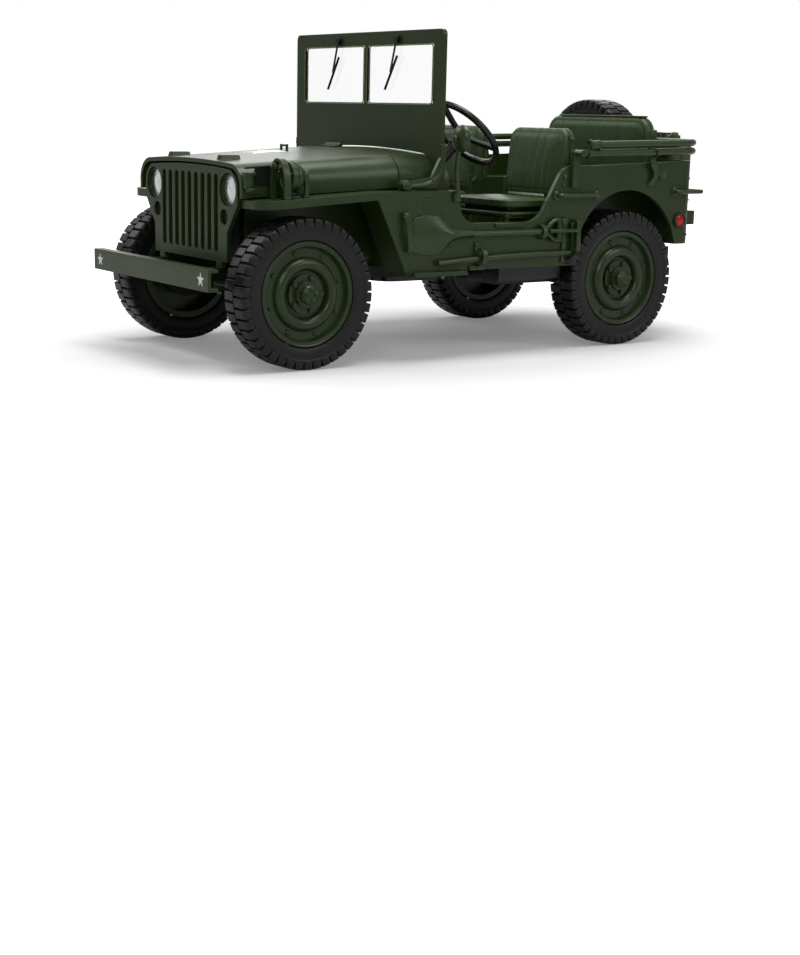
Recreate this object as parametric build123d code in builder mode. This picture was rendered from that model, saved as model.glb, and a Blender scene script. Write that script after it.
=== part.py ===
from build123d import *
from math import cos, radians, sin, sqrt
import os

# Die-cast model, one eighteenth of full size, of a wartime open army 4x4 car.
# Millimetres at the model's own size. Front faces -Y, the driver's side is +X, the ground is z = 0,
# and the origin lies on the ground, midway between the axles.

# Driving sizes of the whole model
wheelbase = 112.9
track = 69.2
tyre_radius = 20.5
tyre_width = 10.2
body_half_width = 40.0
body_wall = 1.4
body_rear_y = 84.5
sill_z = 25.3
overrun = 2.0  # how far a cut runs past what it cuts
joint_gap = 0.3  # running gap between pieces that move
seat_gap = 0.05  # gap between fixed pieces that seat on curved faces

axle_z = tyre_radius
front_axle_y = -wheelbase / 2
rear_axle_y = wheelbase / 2
wheel_x = track / 2


def save(piece, label):
    piece.label = label
    export_step(piece, f"parts/{label}.step")


def mirrored(source):
    """A copy on the passenger's side."""
    with BuildPart() as other:
        mirror(source.part, about=Plane.YZ)
    return other


os.makedirs("parts", exist_ok=True)

# Body tub: floor, sides, rear panel, wheelhouses, ledge and cowl in one casting
floor_thickness = 1.5
ledge_z = 47.6
ledge_thickness = 1.3
opening_front_y = -7.2
opening_bottom_z = 38.5
opening_rear_y = 21.6
shoulder_y = 31.0
quarter_top_z = 54.6
rear_top_z = 56.2
rear_bottom_z = 30.5
riser_y = 38.5
opening_front_radius = 6.0
opening_rear_radius = 8.0
shoulder_radius = 5.5
rear_corner_radius = 3.5
arch_offset_y = 0.75
arch_y = rear_axle_y + arch_offset_y
arch_z = 26.6
arch_radius = 20.7
house_front_y = 34.9
house_rear_y = 78.3
house_inner_x = 26.5
house_top_z = 48.4
house_wall = 1.0
slope_top_y = -33.0
slope_foot_y = -22.0
slope_foot_z = 24.0
cowl_front_y = -23.8
cowl_rear_y = -9.0
cowl_front_half = 33.9
cowl_rear_half = 37.2
cowl_crown_z = 58.6
cowl_eave_z = 56.8
cowl_front_radius = 7.0
cowl_rear_radius = 8.5
cowl_wall = 1.4
firewall_thickness = 1.2
floor_top_z = sill_z + floor_thickness
inner_half_width = body_half_width - body_wall
slope_per_z = (slope_top_y - slope_foot_y) / (ledge_z - slope_foot_z)
slope_sill_y = slope_foot_y + slope_per_z * (sill_z - slope_foot_z)


def arch_section(half_width, base_z, eave_z, crown_z, radius):
    """Bonnet and cowl section: upright sides, rounded shoulders and a low crown."""
    with BuildSketch() as section:
        with BuildLine():
            Line((half_width, base_z), (half_width, eave_z))
            ThreePointArc((half_width, eave_z), (0, crown_z), (-half_width, eave_z))
            Line((-half_width, eave_z), (-half_width, base_z))
            Line((-half_width, base_z), (half_width, base_z))
        make_face()
        eaves = section.vertices().group_by(Axis.Y)[-1]
        fillet(eaves, radius)
    return section.sketch


def cowl_half(y):
    share = (y - cowl_front_y) / (cowl_rear_y - cowl_front_y)
    return cowl_front_half + (cowl_rear_half - cowl_front_half) * share


def cowl_section(y, inset, base_z):
    """Section of the cowl at a station, moved inwards by an inset."""
    share = (y - cowl_front_y) / (cowl_rear_y - cowl_front_y)
    radius = cowl_front_radius + (cowl_rear_radius - cowl_front_radius) * share
    eave_z = cowl_eave_z - inset
    return arch_section(cowl_half(y) - inset, base_z, eave_z, cowl_crown_z - inset, radius - inset)


with BuildPart() as tub:
    tub_length = body_rear_y - slope_top_y
    tub_mid_y = (body_rear_y + slope_top_y) / 2
    with BuildSketch(Plane.XY.offset(sill_z)):
        with Locations((0, tub_mid_y)):
            outer = Rectangle(2 * body_half_width, tub_length)
        fillet(outer.vertices().group_by(Axis.Y)[-1], rear_corner_radius)
    extrude(amount=rear_top_z + overrun - sill_z)
    with BuildSketch(Plane.XY.offset(floor_top_z)):
        with Locations((0, tub_mid_y - body_wall)):
            inner = Rectangle(2 * inner_half_width, tub_length)
        fillet(inner.vertices().group_by(Axis.Y)[-1], rear_corner_radius - body_wall)
    extrude(amount=rear_top_z + 2 * overrun - floor_top_z, mode=Mode.SUBTRACT)
    # raised rear floor and its riser
    riser_front_y = riser_y - floor_thickness
    rear_floor_top_z = rear_bottom_z + floor_thickness
    with BuildSketch(Plane.XY.offset(sill_z)):
        with Locations((0, (riser_front_y + body_rear_y - body_wall) / 2)):
            Rectangle(2 * inner_half_width, body_rear_y - body_wall - riser_front_y)
    extrude(amount=rear_floor_top_z - sill_z)
    # wheelhouse blocks and the ledge beside the cowl
    for side in (-1, 1):
        with BuildSketch(Plane.XY.offset(sill_z)):
            with Locations((side * (house_inner_x + inner_half_width) / 2, (house_front_y + house_rear_y) / 2)):
                Rectangle(inner_half_width - house_inner_x, house_rear_y - house_front_y)
        extrude(amount=house_top_z - sill_z)
        ledge_inner_x = cowl_front_half - 2 * cowl_wall
        with BuildSketch(Plane.XY.offset(ledge_z - ledge_thickness)):
            with Locations((side * (ledge_inner_x + inner_half_width) / 2, (slope_top_y + opening_front_y) / 2)):
                Rectangle(inner_half_width - ledge_inner_x, opening_front_y - slope_top_y)
        extrude(amount=ledge_thickness)
    # firewall
    with BuildSketch(Plane.XY.offset(sill_z)):
        with Locations((0, cowl_front_y + firewall_thickness / 2)):
            Rectangle(2 * inner_half_width, firewall_thickness)
    extrude(amount=ledge_z - sill_z)
    # side outline, kept right across the body
    with BuildSketch(Plane.YZ.offset(-body_half_width)):
        with BuildLine():
            FilletPolyline(
                (shoulder_y + 2 * shoulder_radius, quarter_top_z),
                (shoulder_y, quarter_top_z),
                (opening_rear_y, opening_bottom_z),
                (opening_front_y, opening_bottom_z),
                (opening_front_y, ledge_z),
                radius=[shoulder_radius, opening_rear_radius, opening_front_radius],
            )
            Polyline(
                (opening_front_y, ledge_z),
                (slope_top_y, ledge_z),
                (slope_sill_y, sill_z),
                (riser_y, sill_z),
                (riser_y, rear_bottom_z),
                (body_rear_y, rear_bottom_z),
                (body_rear_y, rear_top_z),
                (shoulder_y + 2 * shoulder_radius, quarter_top_z),
            )
        make_face()
    extrude(amount=2 * body_half_width, mode=Mode.INTERSECT)
    # wheelhouse hollows and the round arches in the sides
    for side in (-1, 1):
        hollow_inner_x = house_inner_x + house_wall
        with BuildSketch(Plane.XY.offset(sill_z - overrun)):
            with Locations((side * (hollow_inner_x + inner_half_width) / 2, (house_front_y + house_rear_y) / 2)):
                Rectangle(inner_half_width - hollow_inner_x, house_rear_y - house_front_y - 2 * house_wall)
        extrude(amount=house_top_z - house_wall - sill_z + overrun, mode=Mode.SUBTRACT)
        with BuildSketch(Plane.YZ.offset(side * (body_half_width - body_wall / 2))):
            with Locations((arch_y, arch_z)):
                Circle(arch_radius)
        extrude(amount=body_wall, both=True, mode=Mode.SUBTRACT)
    # cowl shell
    with BuildSketch(Plane.XZ.offset(-cowl_front_y)):
        add(cowl_section(cowl_front_y, 0, ledge_z))
    with BuildSketch(Plane.XZ.offset(-cowl_rear_y)):
        add(cowl_section(cowl_rear_y, 0, ledge_z))
    loft(ruled=True)
    hollow_front_y = cowl_front_y + firewall_thickness
    hollow_rear_y = cowl_rear_y + overrun
    hollow_base_z = ledge_z - ledge_thickness - overrun
    with BuildSketch(Plane.XZ.offset(-hollow_front_y)):
        add(cowl_section(hollow_front_y, cowl_wall, hollow_base_z))
    with BuildSketch(Plane.XZ.offset(-hollow_rear_y)):
        add(cowl_section(hollow_rear_y, cowl_wall, hollow_base_z))
    loft(ruled=True, mode=Mode.SUBTRACT)
save(tub.part, "tub")

# Front fenders with step plates and the aprons beside the engine
fender_inner_x = 27.7
fender_thickness = 1.2
fender_front_y = -70.5
fender_front_z = 45.25
fender_lip_height = 2.3
fender_lip_thickness = 0.9
fender_corner_radius = 6.3
apron_outer_x = 20.0
apron_thickness = 1.0
apron_bottom_z = 28.0
apron_front_y = -65.0
grille_front_y = -71.5
grille_thickness = 1.2
grille_back_y = grille_front_y + grille_thickness
step_end_y = -5.3
step_outer_x = 42.4
slope_run = slope_sill_y - slope_top_y
slope_drop = ledge_z - sill_z
slope_length = sqrt(slope_run**2 + slope_drop**2)
slope_dy = -fender_thickness * slope_drop / slope_length
slope_dz = -fender_thickness * slope_run / slope_length

fender_width = body_half_width - fender_inner_x
fender_length = slope_sill_y - fender_front_y
bend_y = slope_top_y + slope_dy + slope_run * (fender_thickness + slope_dz) / slope_drop


def fender_plan(inset):
    """Plan outline of a fender with its rounded outer front corner."""
    with BuildSketch() as plan:
        with Locations((fender_inner_x + inset, fender_front_y + inset)):
            Rectangle(fender_width - 2 * inset, fender_length, align=(Align.MIN, Align.MIN))
        corner = plan.vertices().group_by(Axis.Y)[0].sort_by(Axis.X)[-1]
        fillet(corner, fender_corner_radius - inset)
    return plan.sketch


with BuildPart() as fender_lip:
    with BuildSketch():
        add(fender_plan(0))
        with Locations((-fender_lip_thickness, 0)):
            add(fender_plan(fender_lip_thickness), mode=Mode.SUBTRACT)
        add(fender_plan(fender_lip_thickness), mode=Mode.SUBTRACT)
    extrude(amount=2 * ledge_z)
    with BuildSketch(Plane.YZ.offset(fender_inner_x)):
        with BuildLine():
            Polyline(
                (fender_front_y, fender_front_z),
                (slope_top_y, ledge_z),
                (slope_sill_y, sill_z),
                (slope_sill_y + 2 * slope_dy, sill_z + 2 * slope_dz),
                (bend_y + slope_dy, ledge_z - fender_lip_height),
                (fender_front_y, fender_front_z - fender_lip_height),
                (fender_front_y, fender_front_z),
            )
        make_face()
    extrude(amount=fender_width, mode=Mode.INTERSECT)

with BuildPart() as front_fender_left:
    with BuildSketch(Plane.YZ.offset(fender_inner_x)):
        with BuildLine():
            Polyline(
                (fender_front_y, fender_front_z),
                (slope_top_y, ledge_z),
                (slope_sill_y, sill_z),
                (slope_sill_y + slope_dy, sill_z + slope_dz),
                (bend_y, ledge_z - fender_thickness),
                (fender_front_y, fender_front_z - fender_thickness),
                (fender_front_y, fender_front_z),
            )
        make_face()
    extrude(amount=fender_width)
    with BuildSketch():
        add(fender_plan(0))
    extrude(amount=2 * ledge_z, mode=Mode.INTERSECT)
    add(fender_lip.part)
    # inner shelf and apron
    with BuildSketch(Plane.YZ.offset(apron_outer_x - apron_thickness)):
        shelf_front_z = fender_front_z + (ledge_z - fender_front_z) * (apron_front_y - fender_front_y) / (
            slope_top_y - fender_front_y
        )
        with BuildLine():
            Polyline(
                (apron_front_y, shelf_front_z),
                (slope_top_y, ledge_z),
                (slope_top_y, ledge_z - fender_thickness),
                (apron_front_y, shelf_front_z - fender_thickness),
                (apron_front_y, shelf_front_z),
            )
        make_face()
    extrude(amount=fender_inner_x - apron_outer_x + apron_thickness)
    with BuildSketch(Plane.YZ.offset(apron_outer_x - apron_thickness)):
        with BuildLine():
            Polyline(
                (apron_front_y, shelf_front_z),
                (slope_top_y, ledge_z),
                (cowl_front_y, ledge_z - ledge_thickness),
                (cowl_front_y, apron_bottom_z),
                (apron_front_y, apron_bottom_z),
                (apron_front_y, shelf_front_z),
            )
        make_face()
    extrude(amount=apron_thickness)
    # step plate
    with BuildSketch(Plane.XY.offset(sill_z)):
        with Locations((body_half_width, slope_sill_y)):
            Rectangle(step_outer_x - body_half_width, step_end_y - slope_sill_y, align=(Align.MIN, Align.MIN))
        with Locations((fender_inner_x, slope_sill_y + slope_dy)):
            Rectangle(step_outer_x - fender_inner_x, -slope_dy, align=(Align.MIN, Align.MIN))
    extrude(amount=-fender_thickness)
front_fender_right = mirrored(front_fender_left)
save(front_fender_left.part, "front_fender_left")
save(front_fender_right.part, "front_fender_right")

# Grille plate with slots, lamp holes and feet on the frame rails
rail_inner_x = 15.5
rail_outer_x = 18.5
rail_front_z = 26.4
grille_half_width = 27.2
grille_waist_x = 21.5
grille_bottom_z = 28.0
grille_waist_z = 36.0
grille_notch_z = 43.6
grille_eave_z = 52.5
grille_crown_z = 53.7
grille_corner_radius = 5.2
slot_count = 9
slot_pitch = 3.85
slot_width = 2.2
slot_bottom_z = 30.4
slot_top_z = 51.6
lamp_x = 21.8
lamp_z = 47.5
lamp_radius = 4.3
lamp_hole_radius = 4.5
marker_x = 19.8
marker_z = 40.2
marker_radius = 1.9
marker_hole_radius = 2.1

with BuildPart() as grille:
    with BuildSketch(Plane.XZ.offset(-grille_back_y)):
        with BuildLine():
            Polyline(
                (-grille_half_width, grille_eave_z),
                (-grille_half_width, grille_notch_z),
                (-grille_waist_x, grille_waist_z),
                (-grille_waist_x, grille_bottom_z),
                (grille_waist_x, grille_bottom_z),
                (grille_waist_x, grille_waist_z),
                (grille_half_width, grille_notch_z),
                (grille_half_width, grille_eave_z),
            )
            ThreePointArc(
                (grille_half_width, grille_eave_z),
                (0, grille_crown_z),
                (-grille_half_width, grille_eave_z),
            )
        outline = make_face()
        fillet(outline.vertices().group_by(Axis.Y)[-1], grille_corner_radius)
        for side in (-1, 1):
            with Locations((side * (rail_inner_x + rail_outer_x) / 2, (rail_front_z + grille_bottom_z) / 2)):
                Rectangle(rail_outer_x - rail_inner_x, grille_bottom_z - rail_front_z)
        with Locations((0, (slot_bottom_z + slot_top_z) / 2)):
            with GridLocations(slot_pitch, 0, slot_count, 1):
                SlotOverall(slot_top_z - slot_bottom_z, slot_width, rotation=90, mode=Mode.SUBTRACT)
        with Locations((-lamp_x, lamp_z), (lamp_x, lamp_z)):
            Circle(lamp_hole_radius, mode=Mode.SUBTRACT)
        with Locations((-marker_x, marker_z), (marker_x, marker_z)):
            Circle(marker_hole_radius, mode=Mode.SUBTRACT)
    extrude(amount=grille_thickness)
save(grille.part, "grille")

# Headlamps: bowls behind the grille with domed lenses, and the marker lamps
lamp_depth = 4.6
lamp_rim = 0.6
lamp_flange = 0.3
lens_dome = 0.7
lens_recess = 1.9
lens_bore_radius = lamp_radius - lamp_flange
lens_seat = Plane.XZ.offset(-grille_back_y + grille_thickness / 2 - lens_recess)
with BuildPart() as headlamps:
    with BuildSketch(Plane.XZ.offset(-grille_back_y - lamp_depth)):
        with Locations((lamp_x, lamp_z)):
            Circle(lamp_radius)
    extrude(amount=lamp_depth + grille_thickness / 2)
    with BuildSketch(Plane.XZ.offset(-grille_back_y - lamp_rim)):
        with Locations((lamp_x, lamp_z)):
            Circle(lamp_hole_radius + lamp_flange)
    extrude(amount=lamp_rim)
    bowl_back = headlamps.edges().filter_by(GeomType.CIRCLE).group_by(Axis.Y)[-1]
    fillet(bowl_back, lamp_radius / 2)
    with BuildSketch(lens_seat):
        with Locations((lamp_x, lamp_z)):
            Circle(lens_bore_radius)
    extrude(amount=lens_recess + overrun, mode=Mode.SUBTRACT)
    mirror(about=Plane.YZ)
save(headlamps.part, "headlamps")

with BuildPart() as headlamp_lenses:
    with BuildSketch(lens_seat):
        with Locations((-lamp_x, lamp_z), (lamp_x, lamp_z)):
            Circle(lens_bore_radius - seat_gap)
    extrude(amount=lens_dome)
    fillet(headlamp_lenses.edges().filter_by(GeomType.CIRCLE).group_by(Axis.Y)[0], lens_dome * 4 / 5)
save(headlamp_lenses.part, "headlamp_lenses")

with BuildPart() as marker_lamps:
    for side in (-1, 1):
        with BuildSketch(Plane.XZ.offset(-grille_back_y - lamp_rim)):
            with Locations((side * marker_x, marker_z)):
                Circle(marker_radius)
        extrude(amount=lamp_rim + grille_thickness / 4)
        with BuildSketch(Plane.XZ.offset(-grille_back_y - lamp_rim)):
            with Locations((side * marker_x, marker_z)):
                Circle(marker_hole_radius + lamp_flange)
        extrude(amount=lamp_rim)
save(marker_lamps.part, "marker_lamps")

# Hood: one thin lofted shell, hinged along its rear edge
hood_front_y = -71.8
hood_rear_y = cowl_front_y - joint_gap
hood_front_half = 30.2
hood_rear_half = 33.9
hood_front_base_z = 45.6
hood_rear_base_z = 48.3
hood_front_eave_z = 54.1
hood_front_crown_z = 55.3
hood_front_radius = 6.4
hood_rear_radius = 7.0
hood_wall = 1.1
hinge_radius = 0.55
hinge_y = (hood_rear_y + cowl_front_y) / 2
hinge_z = cowl_crown_z + hinge_radius + seat_gap
hinge_half = 4.0
hinge_leaf = 2.2
loop_y = -40.9
loop_top_z = 59.6
loop_half = 1.6
loop_radius = 0.4
block_x = 14.5
block_y = -67.0
block_width = 3.0
block_length = 6.4
block_top_z = 56.5
block_taper = 14.0


def hood_top_z(y):
    share = (y - hood_front_y) / (hood_rear_y - hood_front_y)
    return hood_front_crown_z + (cowl_crown_z - hood_front_crown_z) * share


with BuildPart() as hood:
    with BuildSketch(Plane.XZ.offset(-hood_front_y)):
        add(arch_section(hood_front_half, hood_front_base_z, hood_front_eave_z, hood_front_crown_z, hood_front_radius))
    with BuildSketch(Plane.XZ.offset(-hood_rear_y)):
        add(arch_section(hood_rear_half, hood_rear_base_z, cowl_eave_z, cowl_crown_z, hood_rear_radius))
    loft(ruled=True)
    with BuildSketch(Plane.XZ.offset(-hood_front_y)):
        add(
            arch_section(
                hood_front_half - hood_wall,
                hood_front_base_z - overrun,
                hood_front_eave_z - hood_wall,
                hood_front_crown_z - hood_wall,
                hood_front_radius - hood_wall,
            )
        )
    with BuildSketch(Plane.XZ.offset(-hood_rear_y)):
        add(
            arch_section(
                hood_rear_half - hood_wall,
                hood_rear_base_z - overrun,
                cowl_eave_z - hood_wall,
                cowl_crown_z - hood_wall,
                hood_rear_radius - hood_wall,
            )
        )
    loft(ruled=True, mode=Mode.SUBTRACT)
    # hinge barrel and its leaf
    with BuildSketch(Plane.YZ.offset(-hinge_half)):
        with Locations((hinge_y, hinge_z)):
            Circle(hinge_radius)
        with BuildLine():
            Polyline(
                (hinge_y, hinge_z),
                (hinge_y - hinge_leaf, hinge_z - hinge_radius / 2),
                (hinge_y - hinge_leaf, hood_top_z(hood_rear_y) - hood_wall / 2),
                (hood_rear_y, hood_top_z(hood_rear_y) - hood_wall / 2),
                (hinge_y, hinge_z),
            )
        make_face()
    extrude(amount=2 * hinge_half)
    # hold-down loop and the two rest blocks
    with BuildSketch(Plane.XY.offset(hood_top_z(loop_y) - hood_wall / 2)):
        with Locations((-loop_half, loop_y), (loop_half, loop_y)):
            Circle(loop_radius)
    extrude(amount=loop_top_z - loop_radius - hood_top_z(loop_y) + hood_wall / 2)
    with BuildSketch(Plane.YZ.offset(-loop_half)):
        with Locations((loop_y, loop_top_z - 2 * loop_radius)):
            Circle(loop_radius * 4 / 5)
    extrude(amount=2 * loop_half)
    for side in (-1, 1):
        with BuildSketch(Plane.XY.offset(hood_top_z(block_y) - hood_wall)):
            with Locations((side * block_x, block_y)):
                Rectangle(block_width, block_length)
        extrude(amount=block_top_z - hood_top_z(block_y) + hood_wall, taper=block_taper)
save(hood.part, "hood")

# Windshield frame with its two side arms, hinged low beside the cowl
screen_y = -12.6
screen_thickness = 1.2
screen_half_width = 38.6
screen_top_z = 91.5
screen_corner_radius = 1.6
screen_foot_z = 50.6
pane_bottom_z = 71.1
pane_top_z = 87.7
pane_outer_x = 34.0
pane_inner_x = 0.55
pane_thickness = 0.6
arm_inner_x = 37.6
arm_outer_x = 38.9
arm_bottom_z = 48.0
arm_top_z = 50.2
pivot_y = -24.6
pivot_z = 49.1
pivot_boss_radius = 1.5
pivot_pin_radius = 0.7
pivot_fit = 0.06

with BuildPart() as windshield_frame:
    with BuildSketch(Plane.XZ.offset(-screen_y - screen_thickness / 2)):
        with BuildLine():
            FilletPolyline(
                (-screen_half_width, screen_foot_z),
                (-screen_half_width, screen_top_z),
                (screen_half_width, screen_top_z),
                (screen_half_width, screen_foot_z),
                radius=screen_corner_radius,
            )
            Line((screen_half_width, screen_foot_z), (-screen_half_width, screen_foot_z))
        make_face()
        add(cowl_section(screen_y, -joint_gap, ledge_z), mode=Mode.SUBTRACT)
        for side in (-1, 1):
            with Locations((side * (pane_outer_x + pane_inner_x) / 2, (pane_bottom_z + pane_top_z) / 2)):
                Rectangle(pane_outer_x - pane_inner_x, pane_top_z - pane_bottom_z, mode=Mode.SUBTRACT)
    extrude(amount=screen_thickness)
    for side in (-1, 1):
        with BuildSketch(Plane.YZ.offset(side * (arm_inner_x + arm_outer_x) / 2)):
            with BuildLine():
                Polyline(
                    (pivot_y, pivot_z - pivot_boss_radius * 3 / 5),
                    (screen_y - 2 * screen_thickness, arm_bottom_z + screen_thickness / 2),
                    (screen_y + screen_thickness / 2, screen_foot_z + screen_thickness),
                    (screen_y + screen_thickness / 2, cowl_eave_z),
                    (screen_y - screen_thickness / 2, cowl_eave_z),
                    (screen_y - 3 * screen_thickness, arm_top_z + screen_thickness),
                    (pivot_y, pivot_z + pivot_boss_radius * 3 / 5),
                    (pivot_y, pivot_z - pivot_boss_radius * 3 / 5),
                )
            make_face()
            with Locations((pivot_y, pivot_z)):
                Circle(pivot_boss_radius)
                Circle(pivot_pin_radius + pivot_fit, mode=Mode.SUBTRACT)
        extrude(amount=(arm_outer_x - arm_inner_x) / 2, both=True)
save(windshield_frame.part, "windshield_frame")

with BuildPart() as windshield_glass:
    with BuildSketch(Plane.XZ.offset(-screen_y - pane_thickness / 2)):
        for side in (-1, 1):
            with Locations((side * (pane_outer_x + pane_inner_x) / 2, (pane_bottom_z + pane_top_z) / 2)):
                Rectangle(pane_outer_x - pane_inner_x, pane_top_z - pane_bottom_z)
    extrude(amount=pane_thickness)
save(windshield_glass.part, "windshield_glass")

# Windshield pivot brackets standing on the ledge beside the cowl
bracket_gap = 0.15
with BuildPart() as windshield_pivots:
    bracket_inner_x = arm_inner_x - bracket_gap - screen_thickness
    with BuildSketch(Plane.YZ.offset(bracket_inner_x)):
        with Locations((pivot_y, pivot_z)):
            Circle(pivot_boss_radius)
        with Locations((pivot_y, (ledge_z + pivot_z) / 2)):
            Rectangle(2 * pivot_boss_radius, pivot_z - ledge_z)
    extrude(amount=screen_thickness)
    with BuildSketch(Plane.YZ.offset(bracket_inner_x)):
        with Locations((pivot_y, pivot_z)):
            Circle(pivot_pin_radius)
    extrude(amount=arm_outer_x - bracket_inner_x + bracket_gap)
    mirror(about=Plane.YZ)
save(windshield_pivots.part, "windshield_pivots")

# Wipers hanging from the top rail of the windshield
wiper_tops = ((16.5, 89.2), (-14.2, 89.2))
wiper_arm = (-2.8, -9.1)
wiper_blade_top = (0.5, -4.7)
wiper_blade = (-5.9, -9.3)
wiper_arm_radius = 0.3
wiper_blade_radius = 0.35
wiper_motor_radius = 1.1
wiper_motor_depth = 1.1
screen_front_y = screen_y - screen_thickness / 2
wiper_y = screen_front_y - wiper_motor_depth / 2


def wiper_rod(start, run, radius):
    """Round rod in the wiper plane from a start by a run, both as (x, z)."""
    with BuildPart() as rod:
        with BuildSketch(Plane(origin=(start[0], wiper_y, start[1]), z_dir=(run[0], 0, run[1]))):
            Circle(radius)
        extrude(amount=sqrt(run[0] ** 2 + run[1] ** 2))
    return rod.part


with BuildPart() as wipers:
    for top_x, top_z in wiper_tops:
        with BuildSketch(Plane.XZ.offset(-screen_front_y)):
            with Locations((top_x, top_z)):
                Circle(wiper_motor_radius)
        extrude(amount=wiper_motor_depth)
        add(wiper_rod((top_x, top_z), wiper_arm, wiper_arm_radius))
        blade_start = (top_x + wiper_blade_top[0], top_z + wiper_blade_top[1])
        add(wiper_rod(blade_start, wiper_blade, wiper_blade_radius))
save(wipers.part, "wipers")

# Dashboard closing the cowl, with dials, plates and the grab bar
dash_thickness = 1.0
dash_bottom_z = 48.2
column_x = 18.5
hub_y = 9.8
hub_z = 63.2
column_fall = 0.98
column_radius = 1.0
dial_relief = 0.4
big_dial = (8.8, 52.6, 2.9)
small_dials = ((4.4, 55.0, 1.3), (4.6, 50.2, 1.3), (13.2, 55.0, 1.3), (13.0, 50.2, 1.3))
switch_plate = (-3.0, 51.9)
data_plates = (-13.4, -20.4, -27.4)
data_plate_z = 50.4
data_plate_width = 5.2
data_plate_height = 3.6
dash_bar_x = -21.0
dash_bar_z = 54.6
dash_bar_half = 6.0
dash_front_y = cowl_rear_y - dash_thickness

with BuildPart() as dashboard:
    with BuildSketch(Plane.XZ.offset(-cowl_rear_y)):
        add(cowl_section(dash_front_y, cowl_wall + seat_gap, dash_bottom_z))
    extrude(amount=dash_thickness)
save(dashboard.part, "dashboard")

with BuildPart() as instruments:
    with BuildSketch(Plane.XZ.offset(-cowl_rear_y - dial_relief)):
        for dial_x, dial_z, dial_radius in (big_dial, *small_dials):
            with Locations((dial_x, dial_z)):
                Circle(dial_radius)
        with Locations(switch_plate):
            SlotOverall(4 * dial_relief + big_dial[2], 2 * dial_relief + small_dials[0][2])
    extrude(amount=dial_relief)
save(instruments.part, "instruments")

with BuildPart() as data_plate_set:
    with BuildSketch(Plane.XZ.offset(-cowl_rear_y - dial_relief)):
        for plate_x in data_plates:
            with Locations((plate_x, data_plate_z)):
                Rectangle(data_plate_width, data_plate_height)
    extrude(amount=dial_relief)
save(data_plate_set.part, "data_plates")

# Steering column through dashboard and firewall
column_stretch = sqrt(1 + column_fall**2)
column_end_run = column_radius * column_fall / column_stretch
column_foot_y = cowl_front_y + firewall_thickness + column_end_run + seat_gap
hub_length = 3.0
hub_radius = 1.8
column_plane = Plane(
    origin=(column_x, hub_y, hub_z),
    x_dir=(1, 0, 0),
    z_dir=(0, -1, -column_fall),
)
column_length = (hub_y - column_foot_y) * column_stretch
with BuildPart() as steering_column:
    with BuildSketch(column_plane):
        Circle(column_radius)
    extrude(amount=column_length)
    with BuildSketch(column_plane.offset(hub_length)):
        Circle(column_radius * 8 / 5)
    extrude(amount=column_length / 4)
save(steering_column.part, "steering_column")

# Steering wheel: rim, three spokes and hub
wheel_rim_radius = 11.4
wheel_rim_section = 0.95
spoke_radius = 0.45
spoke_angles = (90, 210, 330)
fit = 0.05
with BuildPart() as steering_wheel:
    rim_plane = column_plane.offset(hub_length / 2)
    with BuildSketch(column_plane.offset(-hub_length / 5)):
        Circle(hub_radius)
    extrude(amount=hub_length)
    with BuildSketch(column_plane):
        Circle(column_radius + fit)
    extrude(amount=hub_length, mode=Mode.SUBTRACT)
    for spoke_angle in spoke_angles:
        turn = Rotation(0, 0, spoke_angle)
        spoke_start = (column_radius + fit + hub_radius) / 2
        spoke_location = Location(rim_plane) * turn * Location((spoke_start, 0, 0))
        with BuildSketch(Plane(spoke_location * Location((0, 0, 0), (0, 90, 0)))):
            Circle(spoke_radius)
        extrude(amount=wheel_rim_radius - spoke_start)
    with BuildSketch(Plane(Location(rim_plane) * Location((wheel_rim_radius, 0, 0), (90, 0, 0)))):
        Circle(wheel_rim_section)
    revolve(axis=Axis(rim_plane.origin, rim_plane.z_dir))
save(steering_wheel.part, "steering_wheel")

# Frame rails and cross members
rail_depth = 3.4
rail_x = (rail_inner_x + rail_outer_x) / 2
rail_low_z = 25.2
rail_rear_z = 30.4
rail_front_y = -83.6
rail_rear_y = 84.0
rail_drop_y = (-26.0, -22.6)
rail_rise_y = (38.8, 44.0)
rail_line = (
    (rail_front_y, rail_front_z),
    (rail_drop_y[0], rail_front_z),
    (rail_drop_y[1], rail_low_z),
    (rail_rise_y[0], rail_low_z),
    (rail_rise_y[1], rail_rear_z),
    (rail_rear_y, rail_rear_z),
)
base_hole_radius = 1.25
base_hole_y = (-20.0, 20.0)
boss_radius = 2.6
lower_line = [(y, z - rail_depth) for y, z in reversed(rail_line)]
with BuildPart() as frame_rails:
    for side in (-1, 1):
        with BuildSketch(Plane.YZ.offset(side * rail_x)):
            with BuildLine():
                Polyline(*rail_line, *lower_line, close=True)
            make_face()
        extrude(amount=(rail_outer_x - rail_inner_x) / 2, both=True)
save(frame_rails.part, "frame_rails")

member_length = 3.0
member_trim = 0.3
front_member_y = -78.0
rear_member_y = 81.0
with BuildPart() as cross_members:
    for member_y, member_top_z in ((front_member_y, rail_front_z), (rear_member_y, rail_rear_z)):
        with BuildSketch(Plane.XY.offset(member_top_z - rail_depth + member_trim)):
            with Locations((0, member_y)):
                Rectangle(2 * rail_inner_x, member_length)
        extrude(amount=rail_depth - 2 * member_trim)
save(cross_members.part, "cross_members")

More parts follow.
